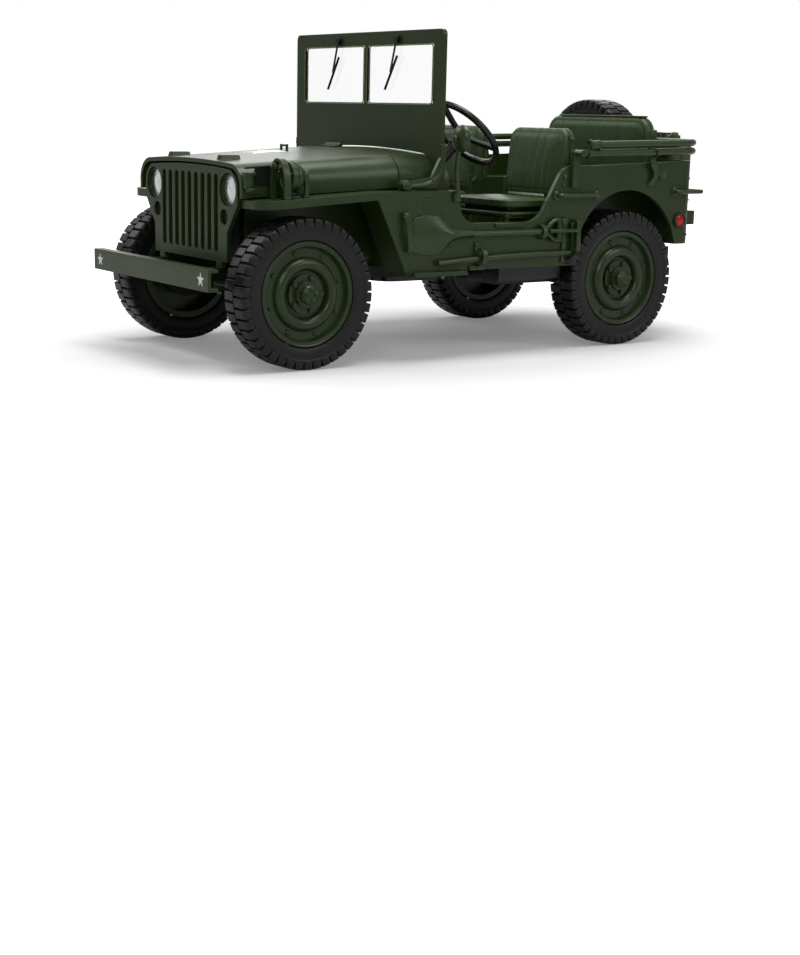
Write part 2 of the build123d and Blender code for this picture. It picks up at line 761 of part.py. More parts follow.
# Gearbox and skid plate between the rails, with the two screw bosses that hold the model to a stand
gearbox_half_width = 7.5
gearbox_bottom_z = 19.5
gearbox_front_y = -17.0
gearbox_rear_y = 15.0
skid_thickness = 1.6
skid_radius = 6.0
with BuildPart() as gearbox:
    with BuildSketch(Plane.XY.offset(rail_low_z - rail_depth)):
        with Locations((0, (gearbox_front_y + gearbox_rear_y) / 2)):
            Rectangle(2 * gearbox_half_width, gearbox_rear_y - gearbox_front_y)
    extrude(amount=rail_depth)
    with BuildSketch(Plane.XY.offset(rail_low_z - rail_depth)):
        for hole_y in base_hole_y:
            with Locations((0, hole_y)):
                Circle(boss_radius)
        with Locations((0, (base_hole_y[0] + base_hole_y[1]) / 2)):
            Rectangle(2 * boss_radius, base_hole_y[1] - base_hole_y[0])
    extrude(amount=rail_depth)
    with BuildSketch(Plane.XY.offset(gearbox_bottom_z)):
        with Locations((0, (gearbox_front_y + gearbox_rear_y) / 2)):
            RectangleRounded(4 * skid_radius, gearbox_rear_y - gearbox_front_y - skid_radius, skid_radius)
    extrude(amount=skid_thickness)
    with BuildSketch(Plane.XY.offset(gearbox_bottom_z)):
        with Locations((0, (gearbox_front_y + gearbox_rear_y) / 2)):
            Rectangle(2 * gearbox_half_width, (gearbox_rear_y - gearbox_front_y) / 2)
    extrude(amount=rail_low_z - gearbox_bottom_z)
    with BuildSketch(Plane.XY.offset(rail_low_z - rail_depth)):
        with Locations((0, (gearbox_front_y + gearbox_rear_y) / 2)):
            Rectangle(2 * rail_inner_x, member_length)
    extrude(amount=rail_depth - member_trim)
    with BuildSketch(Plane.XY.offset(rail_low_z - rail_depth - overrun)):
        for hole_y in base_hole_y:
            with Locations((0, hole_y)):
                Circle(base_hole_radius)
    extrude(amount=rail_depth + 2 * overrun, mode=Mode.SUBTRACT)
save(gearbox.part, "gearbox")

# Front bumper channel
bumper_half = 35.2
bumper_face_y = -84.6
bumper_wall = 0.9
bumper_flange = 3.0
bumper_bottom_z = 21.9
bumper_top_z = 27.8
with BuildPart() as front_bumper:
    with BuildSketch(Plane.XY.offset(bumper_bottom_z)):
        with Locations((0, bumper_face_y)):
            Rectangle(2 * bumper_half, bumper_flange, align=(Align.CENTER, Align.MIN))
    extrude(amount=bumper_top_z - bumper_bottom_z)
    with BuildSketch(Plane.XY.offset(bumper_bottom_z + bumper_wall)):
        with Locations((0, bumper_face_y + bumper_wall)):
            Rectangle(2 * bumper_half + overrun, bumper_flange, align=(Align.CENTER, Align.MIN))
    extrude(amount=bumper_top_z - bumper_bottom_z - 2 * bumper_wall, mode=Mode.SUBTRACT)
    with BuildSketch(Plane.XY.offset(bumper_bottom_z + bumper_wall)):
        with Locations((-rail_x, bumper_face_y), (rail_x, bumper_face_y)):
            Rectangle(
                rail_outer_x - rail_inner_x,
                rail_front_y - bumper_face_y,
                align=(Align.CENTER, Align.MIN),
            )
    extrude(amount=bumper_top_z - bumper_bottom_z - 2 * bumper_wall)
save(front_bumper.part, "front_bumper")

# Rear bumperettes on brackets at the rail ends, and the pintle hook
bumperette_inner_x = 9.0
bumperette_bend_x = 20.0
bumperette_outer_x = 28.0
bumperette_y = 91.5
bumperette_outer_y = 87.0
bumperette_bottom_z = 21.3
bumperette_top_z = 28.5
with BuildPart() as rear_bumperettes:
    with BuildSketch(Plane.XY.offset(bumperette_bottom_z)):
        with BuildLine():
            FilletPolyline(
                (bumperette_inner_x, bumperette_y),
                (bumperette_bend_x, bumperette_y),
                (bumperette_outer_x, bumperette_outer_y),
                radius=bumperette_bend_x / 4,
            )
            offset(amount=bumper_wall, side=Side.RIGHT)
        make_face()
    extrude(amount=bumperette_top_z - bumperette_bottom_z)
    with BuildSketch(Plane.XY.offset(rail_rear_z - rail_depth - 2 * member_trim)):
        with Locations((rail_x, rail_rear_y)):
            Rectangle(
                rail_outer_x - rail_inner_x - 2 * member_trim,
                bumperette_y - bumper_wall / 2 - rail_rear_y,
                align=(Align.CENTER, Align.MIN),
            )
    extrude(amount=4 * member_trim)
    mirror(about=Plane.YZ)
save(rear_bumperettes.part, "rear_bumperettes")

hook_y = 89.6
hook_z = 27.6
hook_ring_radius = 1.9
hook_section = 0.75
hook_plate_half = 2.6
with BuildPart() as pintle_hook:
    hook_plate_y = rear_member_y + member_length / 2
    with BuildSketch(Plane.XZ.offset(-hook_plate_y - bumper_wall)):
        with Locations((0, hook_z + member_trim)):
            Rectangle(2 * hook_plate_half, 2 * hook_plate_half)
    extrude(amount=bumper_wall)
    with BuildSketch(Plane.XZ.offset(-hook_y + hook_ring_radius)):
        with Locations((0, hook_z)):
            Circle(hook_section * 6 / 5)
    extrude(amount=hook_y - hook_ring_radius - hook_plate_y)
    with BuildSketch(Plane.XY.offset(hook_z)):
        with Locations((0, hook_y + hook_ring_radius)):
            Circle(hook_section)
    revolve(axis=Axis((0, hook_y, hook_z), (1, 0, 0)))
save(pintle_hook.part, "pintle_hook")

# Axles with offset differentials; the front one ends in balls for the knuckles
axle_radius = 1.9
diff_x = -6.0
diff_radius = 4.9
diff_cover_radius = 3.9
diff_nose_radius = 1.6
diff_nose_length = 7.4
kingpin_x = 27.5
ball_radius = 2.6
ball_gap = 0.08
plate_inner_x = 30.6
plate_outer_x = 31.4
backing_radius = 7.5
spindle_radius = 1.6
spindle_end_x = 39.2
spring_centre_z = 18.4
for axle_y, nose_sign, label in ((front_axle_y, 1, "front_axle"), (rear_axle_y, -1, "rear_axle")):
    with BuildPart() as axle:
        tube_end_x = kingpin_x if nose_sign > 0 else plate_outer_x
        with BuildSketch(Plane.YZ):
            with Locations((axle_y, axle_z)):
                Circle(axle_radius)
        extrude(amount=tube_end_x, both=True)
        with Locations((diff_x, axle_y, axle_z)):
            Sphere(diff_radius)
        with BuildSketch(Plane.XZ.offset(-axle_y)):
            with Locations((diff_x, axle_z)):
                Circle(diff_nose_radius)
        extrude(amount=-nose_sign * diff_nose_length)
        for side in (-1, 1):
            with BuildSketch(Plane.XY.offset(spring_centre_z + seat_gap)):
                with Locations((side * rail_x, axle_y)):
                    Rectangle(rail_outer_x - rail_inner_x - 2 * member_trim, axle_radius)
            extrude(amount=axle_z - spring_centre_z - seat_gap)
            if nose_sign > 0:
                with Locations((side * kingpin_x, axle_y, axle_z)):
                    Sphere(ball_radius)
            else:
                with BuildSketch(Plane.YZ.offset(side * (plate_inner_x + plate_outer_x) / 2)):
                    with Locations((axle_y, axle_z)):
                        Circle(backing_radius)
                extrude(amount=(plate_outer_x - plate_inner_x) / 2, both=True)
                with BuildSketch(Plane.YZ.offset(side * plate_outer_x)):
                    with Locations((axle_y, axle_z)):
                        Circle(spindle_radius)
                extrude(amount=side * (spindle_end_x - plate_outer_x))
    save(axle.part, label)

# Steering knuckles: a cup round each ball, backing plate, spindle and forward arm
knuckle_radius = 3.7
knuckle_back_x = 26.9
arm_length = 8.4
arm_width = 1.7
arm_thickness = 0.9
tie_rod_z = 20.5
tie_rod_y = front_axle_y - arm_length
pin_radius = 0.5
pin_fit = 0.04
pin_half = 1.3
arm_drop = 0.6
arm_top_surface_z = tie_rod_z - arm_drop
cup_reach = kingpin_x - knuckle_back_x
cup_inner = ball_radius + ball_gap
cup_neck = knuckle_radius * 4 / 5


def around_kingpin(radius, angle):
    """Point on a circle about the kingpin, in the plane of the wheel's axis."""
    return (kingpin_x + radius * cos(radians(angle)), axle_z + radius * sin(radians(angle)))


cup_inner_back = (knuckle_back_x, axle_z + sqrt(cup_inner**2 - cup_reach**2))
cup_outer_back = (knuckle_back_x, axle_z + sqrt(knuckle_radius**2 - cup_reach**2))
cup_neck_x = kingpin_x + sqrt(knuckle_radius**2 - cup_neck**2)
with BuildPart() as knuckle_left:
    with BuildSketch(Plane.XZ.offset(-front_axle_y)):
        with BuildLine():
            ThreePointArc(cup_inner_back, around_kingpin(cup_inner, 45), (kingpin_x + cup_inner, axle_z))
            Polyline(
                (kingpin_x + cup_inner, axle_z),
                (spindle_end_x, axle_z),
                (spindle_end_x, axle_z + spindle_radius),
                (plate_outer_x, axle_z + spindle_radius),
                (plate_outer_x, axle_z + backing_radius),
                (plate_inner_x, axle_z + backing_radius),
                (plate_inner_x, axle_z + cup_neck),
                (cup_neck_x, axle_z + cup_neck),
            )
            ThreePointArc((cup_neck_x, axle_z + cup_neck), around_kingpin(knuckle_radius, 75), cup_outer_back)
            Line(cup_outer_back, cup_inner_back)
        make_face()
    revolve(axis=Axis((0, front_axle_y, axle_z), (1, 0, 0)))
    arm_root_y = front_axle_y - cup_neck
    with BuildSketch(Plane.XY.offset(arm_top_surface_z - arm_thickness)):
        with Locations((kingpin_x, (arm_root_y + tie_rod_y) / 2)):
            Rectangle(arm_width, arm_root_y - tie_rod_y)
        with Locations((kingpin_x, tie_rod_y)):
            Circle(arm_width / 2)
    extrude(amount=arm_thickness)
    with BuildSketch(Plane.XY.offset(arm_top_surface_z)):
        with Locations((kingpin_x, tie_rod_y)):
            Circle(pin_radius)
    extrude(amount=pin_half)
knuckle_right = mirrored(knuckle_left)
save(knuckle_left.part, "knuckle_left")
save(knuckle_right.part, "knuckle_right")

# Tie rod with an eye on each knuckle pin
rod_radius = 0.55
rod_eye_radius = 1.0
rod_eye_half = 0.5
with BuildPart() as tie_rod:
    with BuildSketch(Plane.YZ.offset(-kingpin_x)):
        with Locations((tie_rod_y, tie_rod_z)):
            Circle(rod_radius)
    extrude(amount=2 * kingpin_x)
    for side in (-1, 1):
        with BuildSketch(Plane.XY.offset(tie_rod_z - rod_eye_half)):
            with Locations((side * kingpin_x, tie_rod_y)):
                Circle(rod_eye_radius)
        extrude(amount=2 * rod_eye_half)
        with BuildSketch(Plane.XY.offset(tie_rod_z - 2 * rod_eye_half)):
            with Locations((side * kingpin_x, tie_rod_y)):
                Circle(pin_radius + pin_fit)
        extrude(amount=4 * rod_eye_half, mode=Mode.SUBTRACT)
save(tie_rod.part, "tie_rod")

# Leaf springs: a fused stack of four leaves with a shackle at each end
leaf_half_lengths = (19.0, 15.0, 11.0, 7.0)
leaf_thickness = 0.5
leaf_rise = 3.0
leaf_width = rail_outer_x - rail_inner_x - 2 * member_trim
shackle_length = 1.6
leaf_arc_radius = (leaf_half_lengths[0] ** 2 + leaf_rise**2) / (2 * leaf_rise)
rail_under_front_z = rail_front_z - rail_depth
for axle_y, hanger_tops, place in (
    (front_axle_y, (rail_under_front_z, rail_under_front_z), "front"),
    (rear_axle_y, (rail_low_z - rail_depth, rail_rear_z - rail_depth), "rear"),
):
    with BuildPart() as springs:
        leaf_centre = (axle_y, spring_centre_z + leaf_arc_radius)
        for side in (-1, 1):
            for leaf, half_length in enumerate(leaf_half_lengths):
                leaf_outer = leaf_arc_radius + leaf_thickness * (leaf + 1)
                with BuildSketch(Plane.YZ.offset(side * rail_x)):
                    with Locations(leaf_centre):
                        Circle(leaf_outer)
                        Circle(leaf_outer - leaf_thickness, mode=Mode.SUBTRACT)
                    with Locations((axle_y, spring_centre_z + leaf_rise)):
                        Rectangle(2 * half_length, 4 * leaf_rise, mode=Mode.INTERSECT)
                extrude(amount=leaf_width / 2, both=True)
            for end, end_z in zip((-1, 1), hanger_tops):
                shackle_y = axle_y + end * (leaf_half_lengths[0] - shackle_length / 2)
                shackle_foot_z = spring_centre_z + leaf_rise - leaf_thickness
                with BuildSketch(Plane.YZ.offset(side * rail_x)):
                    with Locations((shackle_y, (shackle_foot_z + end_z) / 2)):
                        Rectangle(shackle_length, end_z - shackle_foot_z)
                extrude(amount=leaf_width / 2, both=True)
    save(springs.part, f"{place}_leaf_springs")

# Propeller shafts
shaft_radius = 0.8
shaft_z = 21.4
shaft_joint = 1.3
with BuildPart() as propeller_shafts:
    for start_y, end_y in (
        (gearbox_front_y, front_axle_y + diff_nose_length),
        (gearbox_rear_y, rear_axle_y - diff_nose_length),
    ):
        shaft_sign = 1 if end_y > start_y else -1
        start_z = rail_low_z - rail_depth + shaft_joint
        inner_y = start_y + shaft_sign * shaft_joint
        inner_end_y = end_y - shaft_sign * shaft_joint
        shaft_direction = (0, inner_end_y - inner_y, axle_z - start_z)
        shaft_length = sqrt((inner_end_y - inner_y) ** 2 + (axle_z - start_z) ** 2)
        with BuildSketch(Plane(origin=(diff_x, inner_y, start_z), x_dir=(1, 0, 0), z_dir=shaft_direction)):
            Circle(shaft_radius)
        extrude(amount=shaft_length)
        for joint_y, joint_z, joint_sign in ((start_y, start_z, shaft_sign), (end_y, axle_z, -shaft_sign)):
            with BuildSketch(Plane.XZ.offset(-joint_y)):
                with Locations((diff_x, joint_z)):
                    Circle(shaft_joint)
            extrude(amount=-joint_sign * 2 * shaft_joint)
save(propeller_shafts.part, "propeller_shafts")

# Wheels: rim with drum and hub, and a tyre with side lugs
bore_radius = spindle_radius + fit
rim_barrel_radius = 13.1
rim_flange_radius = 14.1
rim_well_radius = 12.3
rim_inner_x = 30.3
rim_outer_x = 39.0
rim_flange_width = 0.7
rim_flat_x = 37.3
rim_back_x = 36.2
rim_flat_radius = 10.2
bulge_x = 38.5
bulge_outer_radius = 9.4
bulge_inner_radius = 7.4
recess_radius = 6.3
recess_x = 37.0
hub_flange_radius = 5.4
hub_flange_x = 38.0
hub_barrel_radius = 3.6
hub_barrel_x = 39.2
cap_radius = 2.6
front_cap_x = 40.7
front_cap_round = 0.4
rear_cap_x = 41.5
rear_cap_round = 1.1
drum_radius = 7.0
drum_inner_x = 31.8
bore_end_x = 39.6
tyre_gap = 0.05
tyre_bead_width = 1.0
lug_count = 42
lug_inner_radius = 17.3
lug_root_radius = 19.3
lug_depth = 0.5
lug_half_angle = 3.2
lug_taper = 0.3


def rim_profile(cap_x, cap_round):
    """Half section of a road wheel's rim, hub and drum: distance from the car's middle, radius."""
    return (
        (cap_x, 0),
        (cap_x, cap_radius - cap_round),
        (cap_x - cap_round, cap_radius),
        (hub_barrel_x, cap_radius),
        (hub_barrel_x, hub_barrel_radius),
        (hub_flange_x, hub_barrel_radius),
        (hub_flange_x, hub_flange_radius),
        (recess_x, hub_flange_radius),
        (recess_x, recess_radius),
        (bulge_x, bulge_inner_radius),
        (bulge_x, bulge_outer_radius),
        (rim_flat_x, rim_flat_radius),
        (rim_flat_x, rim_well_radius),
        (rim_outer_x, rim_well_radius + rim_flange_width),
        (rim_outer_x, rim_flange_radius),
        (rim_outer_x - rim_flange_width, rim_flange_radius),
        (rim_outer_x - rim_flange_width, rim_barrel_radius),
        (rim_inner_x + rim_flange_width, rim_barrel_radius),
        (rim_inner_x + rim_flange_width, rim_flange_radius),
        (rim_inner_x, rim_flange_radius),
        (rim_inner_x, rim_well_radius),
        (rim_back_x, rim_well_radius),
        (rim_back_x, drum_radius),
        (drum_inner_x, drum_radius),
        (drum_inner_x, bore_radius),
        (bore_end_x, bore_radius),
        (bore_end_x, 0),
    )


tyre_inner_x = wheel_x - tyre_width / 2
tyre_outer_x = wheel_x + tyre_width / 2
tyre_shoulder = 1.0
lug_pitch = 360 / lug_count
tyre_profile = (
    (tyre_inner_x + tyre_shoulder, rim_flange_radius + tyre_gap),
    (tyre_inner_x, lug_inner_radius),
    (tyre_inner_x, tyre_radius - tyre_shoulder),
    (tyre_inner_x + tyre_shoulder, tyre_radius),
    (tyre_outer_x - tyre_shoulder, tyre_radius),
    (tyre_outer_x, tyre_radius - tyre_shoulder),
    (tyre_outer_x, lug_inner_radius),
    (tyre_outer_x - tyre_shoulder, rim_flange_radius + tyre_gap),
    (rim_outer_x - rim_flange_width - tyre_gap, rim_flange_radius + tyre_gap),
    (rim_outer_x - rim_flange_width - tyre_gap, rim_barrel_radius + tyre_gap),
    (rim_inner_x + rim_flange_width + tyre_gap, rim_barrel_radius + tyre_gap),
    (rim_inner_x + rim_flange_width + tyre_gap, rim_flange_radius + tyre_gap),
)


def toothed_slab(root_radius, start_x, end_x, phase):
    """Slab across the axle whose edge is cut into tread lugs."""
    outline = []
    for lug in range(lug_count):
        middle = phase + lug * lug_pitch
        for radius, swing in (
            (root_radius, -lug_half_angle),
            (tyre_radius, lug_taper - lug_half_angle),
            (tyre_radius, lug_half_angle - lug_taper),
            (root_radius, lug_half_angle),
        ):
            angle = radians(middle + swing)
            outline.append((radius * sin(angle), radius * cos(angle)))
    with BuildPart() as slab:
        with BuildSketch(Plane.YZ.offset(start_x)):
            with BuildLine():
                Polyline(*outline, close=True)
            make_face()
        extrude(amount=end_x - start_x)
    return slab.part


def lugged_tyre():
    """Turned tyre cut to two rows of lugs half a pitch apart."""
    with BuildPart() as tyre:
        add(toothed_slab(lug_inner_radius, tyre_inner_x, tyre_inner_x + lug_depth, 0))
        add(toothed_slab(lug_root_radius, tyre_inner_x + lug_depth, wheel_x, 0))
        add(toothed_slab(lug_root_radius, wheel_x, tyre_outer_x - lug_depth, lug_pitch / 2))
        add(toothed_slab(lug_inner_radius, tyre_outer_x - lug_depth, tyre_outer_x, lug_pitch / 2))
        add(revolved(tyre_profile), mode=Mode.INTERSECT)
    return tyre.part


def revolved(profile):
    """A turned piece from a half section given as distance along X and radius."""
    with BuildPart() as turned:
        with BuildSketch(Plane.XZ):
            with BuildLine():
                Polyline(*profile, close=True)
            make_face()
        revolve(axis=Axis.X)
    return turned.part


front_rim = revolved(rim_profile(front_cap_x, front_cap_round))
rear_rim = revolved(rim_profile(rear_cap_x, rear_cap_round))
road_lugs = lugged_tyre()
for side, hand in ((1, "left"), (-1, "right")):
    for axle_y, rim_shape, place in ((front_axle_y, front_rim, "front"), (rear_axle_y, rear_rim, "rear")):
        turn = 0 if side > 0 else 180
        spot = Location((0, axle_y, axle_z), (0, 0, turn))
        with BuildPart() as road_rim:
            add(rim_shape.moved(spot))
        save(road_rim.part, f"rim_{place}_{hand}")
        with BuildPart() as road_tyre:
            add(road_lugs.moved(spot))
        save(road_tyre.part, f"tyre_{place}_{hand}")

# Spare wheel on its carrier behind the rear panel
spare_x = -14.5
spare_z = 54.0
spare_y = 91.0
spare_hub_radius = 4.6
carrier_radius = 2.0
carrier_plate_half = 4.2
carrier_plate_thickness = 1.0
carrier_nut_radius = 2.6
carrier_nut_depth = 1.6
spare_profile = (
    (recess_x, spare_hub_radius),
    (recess_x, recess_radius),
    (bulge_x, bulge_inner_radius),
    (bulge_x, bulge_outer_radius),
    (rim_flat_x, rim_flat_radius),
    (rim_flat_x, rim_well_radius),
    (rim_outer_x, rim_well_radius + rim_flange_width),
    (rim_outer_x, rim_flange_radius),
    (rim_outer_x - rim_flange_width, rim_flange_radius),
    (rim_outer_x - rim_flange_width, rim_barrel_radius),
    (rim_inner_x + rim_flange_width, rim_barrel_radius),
    (rim_inner_x + rim_flange_width, rim_flange_radius),
    (rim_inner_x, rim_flange_radius),
    (rim_inner_x, rim_well_radius),
    (rim_back_x, rim_well_radius),
    (rim_back_x, spare_hub_radius),
)
spare_spot = Location((spare_x, spare_y - wheel_x, spare_z), (0, 0, 90))
with BuildPart() as spare_rim:
    add(revolved(spare_profile).moved(spare_spot))
save(spare_rim.part, "spare_rim")
with BuildPart() as spare_tyre:
    add(road_lugs.moved(spare_spot))
save(spare_tyre.part, "spare_tyre")

spare_disc_back_y = spare_y + rim_back_x - wheel_x
spare_disc_front_y = spare_y + recess_x - wheel_x
with BuildPart() as spare_carrier:
    with BuildSketch(Plane.XZ.offset(-body_rear_y - carrier_plate_thickness)):
        with Locations((spare_x, rear_top_z - carrier_plate_half - overrun)):
            Rectangle(2 * carrier_plate_half, 2 * carrier_plate_half)
    extrude(amount=carrier_plate_thickness)
    with BuildSketch(Plane.XZ.offset(-spare_disc_back_y)):
        with Locations((spare_x, spare_z)):
            Circle(carrier_radius)
    extrude(amount=spare_disc_back_y - body_rear_y - carrier_plate_thickness / 2)
    with BuildSketch(Plane.XZ.offset(-spare_disc_back_y)):
        with Locations((spare_x, spare_z)):
            Circle(recess_radius)
    extrude(amount=carrier_plate_thickness)
    with BuildSketch(Plane.XZ.offset(-spare_disc_front_y - carrier_nut_depth / 4)):
        with Locations((spare_x, spare_z)):
            Circle(spare_hub_radius - tyre_gap)
    extrude(amount=spare_disc_front_y + carrier_nut_depth / 4 - spare_disc_back_y)
    with BuildSketch(Plane.XZ.offset(-spare_disc_front_y - carrier_nut_depth)):
        with Locations((spare_x, spare_z)):
            Circle(carrier_nut_radius)
    extrude(amount=carrier_nut_depth)
save(spare_carrier.part, "spare_carrier")

# Fuel can in its tray on the rear panel
can_x = 17.25
can_width = 19.5
can_front_y = 86.5
can_rear_y = 96.5
can_bottom_z = 36.2
can_top_z = 61.0
can_corner = 1.8
can_cap_radius = 2.0
can_cap_height = 2.6
handle_rail_height = 3.4
handle_rail_thickness = 1.0
handle_rail_length = 9.0
tray_gap = 0.3
tray_wall = 0.8
tray_height = 3.6
can_mid_y = (can_front_y + can_rear_y) / 2
can_depth = can_rear_y - can_front_y
with BuildPart() as jerry_can:
    with BuildSketch(Plane.XY.offset(can_bottom_z)):
        with Locations((can_x, can_mid_y)):
            RectangleRounded(can_width, can_depth, can_corner)
    extrude(amount=can_top_z - can_bottom_z)
    fillet(jerry_can.faces().sort_by(Axis.Z)[-1].edges(), can_corner * 2 / 3)
    for step in (-1, 0, 1):
        with BuildSketch(Plane.YZ.offset(can_x)):
            with Locations((can_mid_y + step * can_depth / 4, can_top_z)):
                Rectangle(handle_rail_thickness, 2 * handle_rail_height)
        extrude(amount=handle_rail_length / 2, both=True)
    with BuildSketch(Plane.XZ.offset(-can_mid_y)):
        with Locations((can_x, can_top_z + handle_rail_height / 3)):
            Rectangle(handle_rail_length * 2 / 3, handle_rail_height * 4 / 3)
    extrude(amount=can_depth, both=True, mode=Mode.SUBTRACT)
    with BuildSketch(Plane.XY.offset(can_top_z - can_corner)):
        with Locations((can_x + can_width / 2 - 2 * can_cap_radius, can_mid_y)):
            Circle(can_cap_radius)
    extrude(amount=can_corner + can_cap_height)
save(jerry_can.part, "jerry_can")

with BuildPart() as can_tray:
    tray_bottom_z = can_bottom_z - tray_wall
    tray_front_y = body_rear_y
    tray_rear_y = can_rear_y + tray_gap + tray_wall
    with BuildSketch(Plane.XY.offset(tray_bottom_z)):
        with Locations((can_x, (tray_front_y + tray_rear_y) / 2)):
            Rectangle(can_width + 2 * (tray_gap + tray_wall), tray_rear_y - tray_front_y)
    extrude(amount=tray_height + tray_wall)
    with BuildSketch(Plane.XY.offset(can_bottom_z)):
        with Locations((can_x, can_mid_y)):
            RectangleRounded(can_width + 2 * tray_gap, can_depth + 2 * tray_gap, can_corner)
    extrude(amount=tray_height + overrun, mode=Mode.SUBTRACT)
save(can_tray.part, "can_tray")

# Seats: tube frame on the floor, cushion and padded back
seat_centre_x = 21.0
seat_width = 27.0
seat_front_y = 14.0
seat_rear_y = 33.0
seat_frame_z = 39.2
seat_top_z = 45.0
seat_tube = 0.75
seat_back_y = 35.6
seat_back_foot_y = 33.6
seat_back_rear_y = 39.8
seat_back_bottom_z = house_top_z + seat_gap
seat_back_top_z = 65.8
seat_back_radius = 4.0
seat_round = 1.4
post_y = 33.9
post_inset = 1.6
with BuildPart() as front_seat_cushions:
    for side in (-1, 1):
        with BuildSketch(Plane.XY.offset(seat_frame_z + 2 * seat_tube)):
            with Locations((side * seat_centre_x, (seat_front_y + seat_rear_y) / 2)):
                RectangleRounded(
                    seat_width,
                    seat_rear_y - seat_front_y - seat_tube / 2,
                    seat_round * 3 / 2,
                )
        extrude(amount=seat_top_z - seat_frame_z - 2 * seat_tube)
    fillet(front_seat_cushions.faces().filter_by(Axis.Z).group_by(Axis.Z)[-1].edges(), seat_round)
with BuildPart() as front_seat_backs:
    for side in (-1, 1):
        with BuildSketch(Plane.XZ.offset(-seat_back_rear_y)):
            with Locations((side * seat_centre_x, (seat_back_bottom_z + seat_back_top_z) / 2)):
                RectangleRounded(seat_width, seat_back_top_z - seat_back_bottom_z, seat_back_radius)
        extrude(amount=seat_back_rear_y - seat_back_foot_y)
    with BuildSketch(Plane.YZ.offset(-body_half_width)):
        with BuildLine():
            Polyline(
                (seat_back_foot_y, seat_back_bottom_z),
                (seat_back_y, seat_back_top_z),
                (seat_back_rear_y, seat_back_top_z),
                (seat_back_rear_y, seat_back_bottom_z),
                close=True,
            )
        make_face()
    extrude(amount=2 * body_half_width, mode=Mode.INTERSECT)
    back_faces = front_seat_backs.faces().filter_by(GeomType.PLANE).sort_by(Axis.Y)
    fillet(back_faces[-2:].edges(), seat_round)
    fillet(front_seat_backs.faces().filter_by(GeomType.PLANE).sort_by(Axis.Y)[:2].edges(), seat_round)
    add(front_seat_cushions.part)
save(front_seat_backs.part, "front_seat_cushions")
with BuildPart() as front_seat_frames:
    for side in (-1, 1):
        with BuildSketch(Plane.XY.offset(seat_frame_z)):
            with Locations((side * seat_centre_x, (seat_front_y + post_y + seat_tube) / 2)):
                Rectangle(seat_width - 2 * seat_tube, post_y + seat_tube - seat_front_y - 2 * seat_tube)
                Rectangle(seat_width - 6 * seat_tube, post_y - seat_front_y - 5 * seat_tube, mode=Mode.SUBTRACT)
        extrude(amount=2 * seat_tube)
        for leg_side in (-1, 1):
            leg_x = side * seat_centre_x + leg_side * (seat_width / 2 - post_inset)
            with BuildSketch(Plane.XY.offset(floor_top_z)):
                with Locations((leg_x, seat_front_y + post_inset), (leg_x, post_y)):
                    Circle(seat_tube)
            extrude(amount=seat_frame_z + seat_tube - floor_top_z)
            with BuildSketch(Plane.XY.offset(seat_frame_z)):
                with Locations((leg_x, post_y)):
                    Circle(seat_tube)
            extrude(amount=seat_back_bottom_z + post_inset - seat_frame_z)
    add(front_seat_backs.part, mode=Mode.SUBTRACT)
save(front_seat_frames.part, "front_seat_frames")

# Rear bench between the wheelhouses
bench_half = 24.5
bench_front_y = 58.0
bench_rear_y = 74.0
bench_frame_z = 38.6
bench_top_z = 44.0
bench_back_y = 77.2
bench_back_depth = 4.6
bench_back_bottom_z = 47.0
bench_back_top_z = 69.0
bench_back_radius = 5.4
rear_floor_z = rear_bottom_z + floor_thickness
with BuildPart() as rear_seat_frame:
    with BuildSketch(Plane.XY.offset(bench_frame_z)):
        with Locations((0, (bench_front_y + bench_back_y) / 2)):
            Rectangle(2 * bench_half, bench_back_y - bench_front_y)
            Rectangle(
                2 * bench_half - 4 * seat_tube,
                bench_back_y - bench_front_y - 4 * seat_tube,
                mode=Mode.SUBTRACT,
            )
    extrude(amount=2 * seat_tube)
    for leg_x in (-1, 1):
        bench_leg_x = leg_x * (bench_half - seat_tube)
        with BuildSketch(Plane.XY.offset(rear_floor_z)):
            with Locations((bench_leg_x, bench_front_y + seat_tube), (bench_leg_x, bench_back_y - seat_tube)):
                Circle(seat_tube)
        extrude(amount=bench_frame_z + seat_tube - rear_floor_z)
        with BuildSketch(Plane.XY.offset(bench_frame_z)):
            with Locations((bench_leg_x, bench_back_y - seat_tube)):
                Circle(seat_tube)
        extrude(amount=bench_back_bottom_z + 5 * seat_tube - bench_frame_z)
save(rear_seat_frame.part, "rear_seat_frame")
with BuildPart() as rear_seat_cushion:
    with BuildSketch(Plane.XY.offset(bench_frame_z + 2 * seat_tube)):
        with Locations((0, (bench_front_y + bench_rear_y) / 2)):
            RectangleRounded(2 * bench_half, bench_rear_y - bench_front_y, seat_round * 3 / 2)
    extrude(amount=bench_top_z - bench_frame_z - 2 * seat_tube)
    fillet(rear_seat_cushion.faces().sort_by(Axis.Z)[-1].edges(), seat_round)
with BuildPart() as rear_seat_back:
    with BuildSketch(Plane.XZ.offset(-bench_back_y - bench_back_depth)):
        with Locations((0, (bench_back_bottom_z + bench_back_top_z) / 2)):
            RectangleRounded(2 * bench_half, bench_back_top_z - bench_back_bottom_z, bench_back_radius)
    extrude(amount=bench_back_depth)
    fillet(rear_seat_back.faces().filter_by(Axis.Y).edges(), seat_round)
    add(rear_seat_cushion.part)
save(rear_seat_back.part, "rear_seat_cushions")

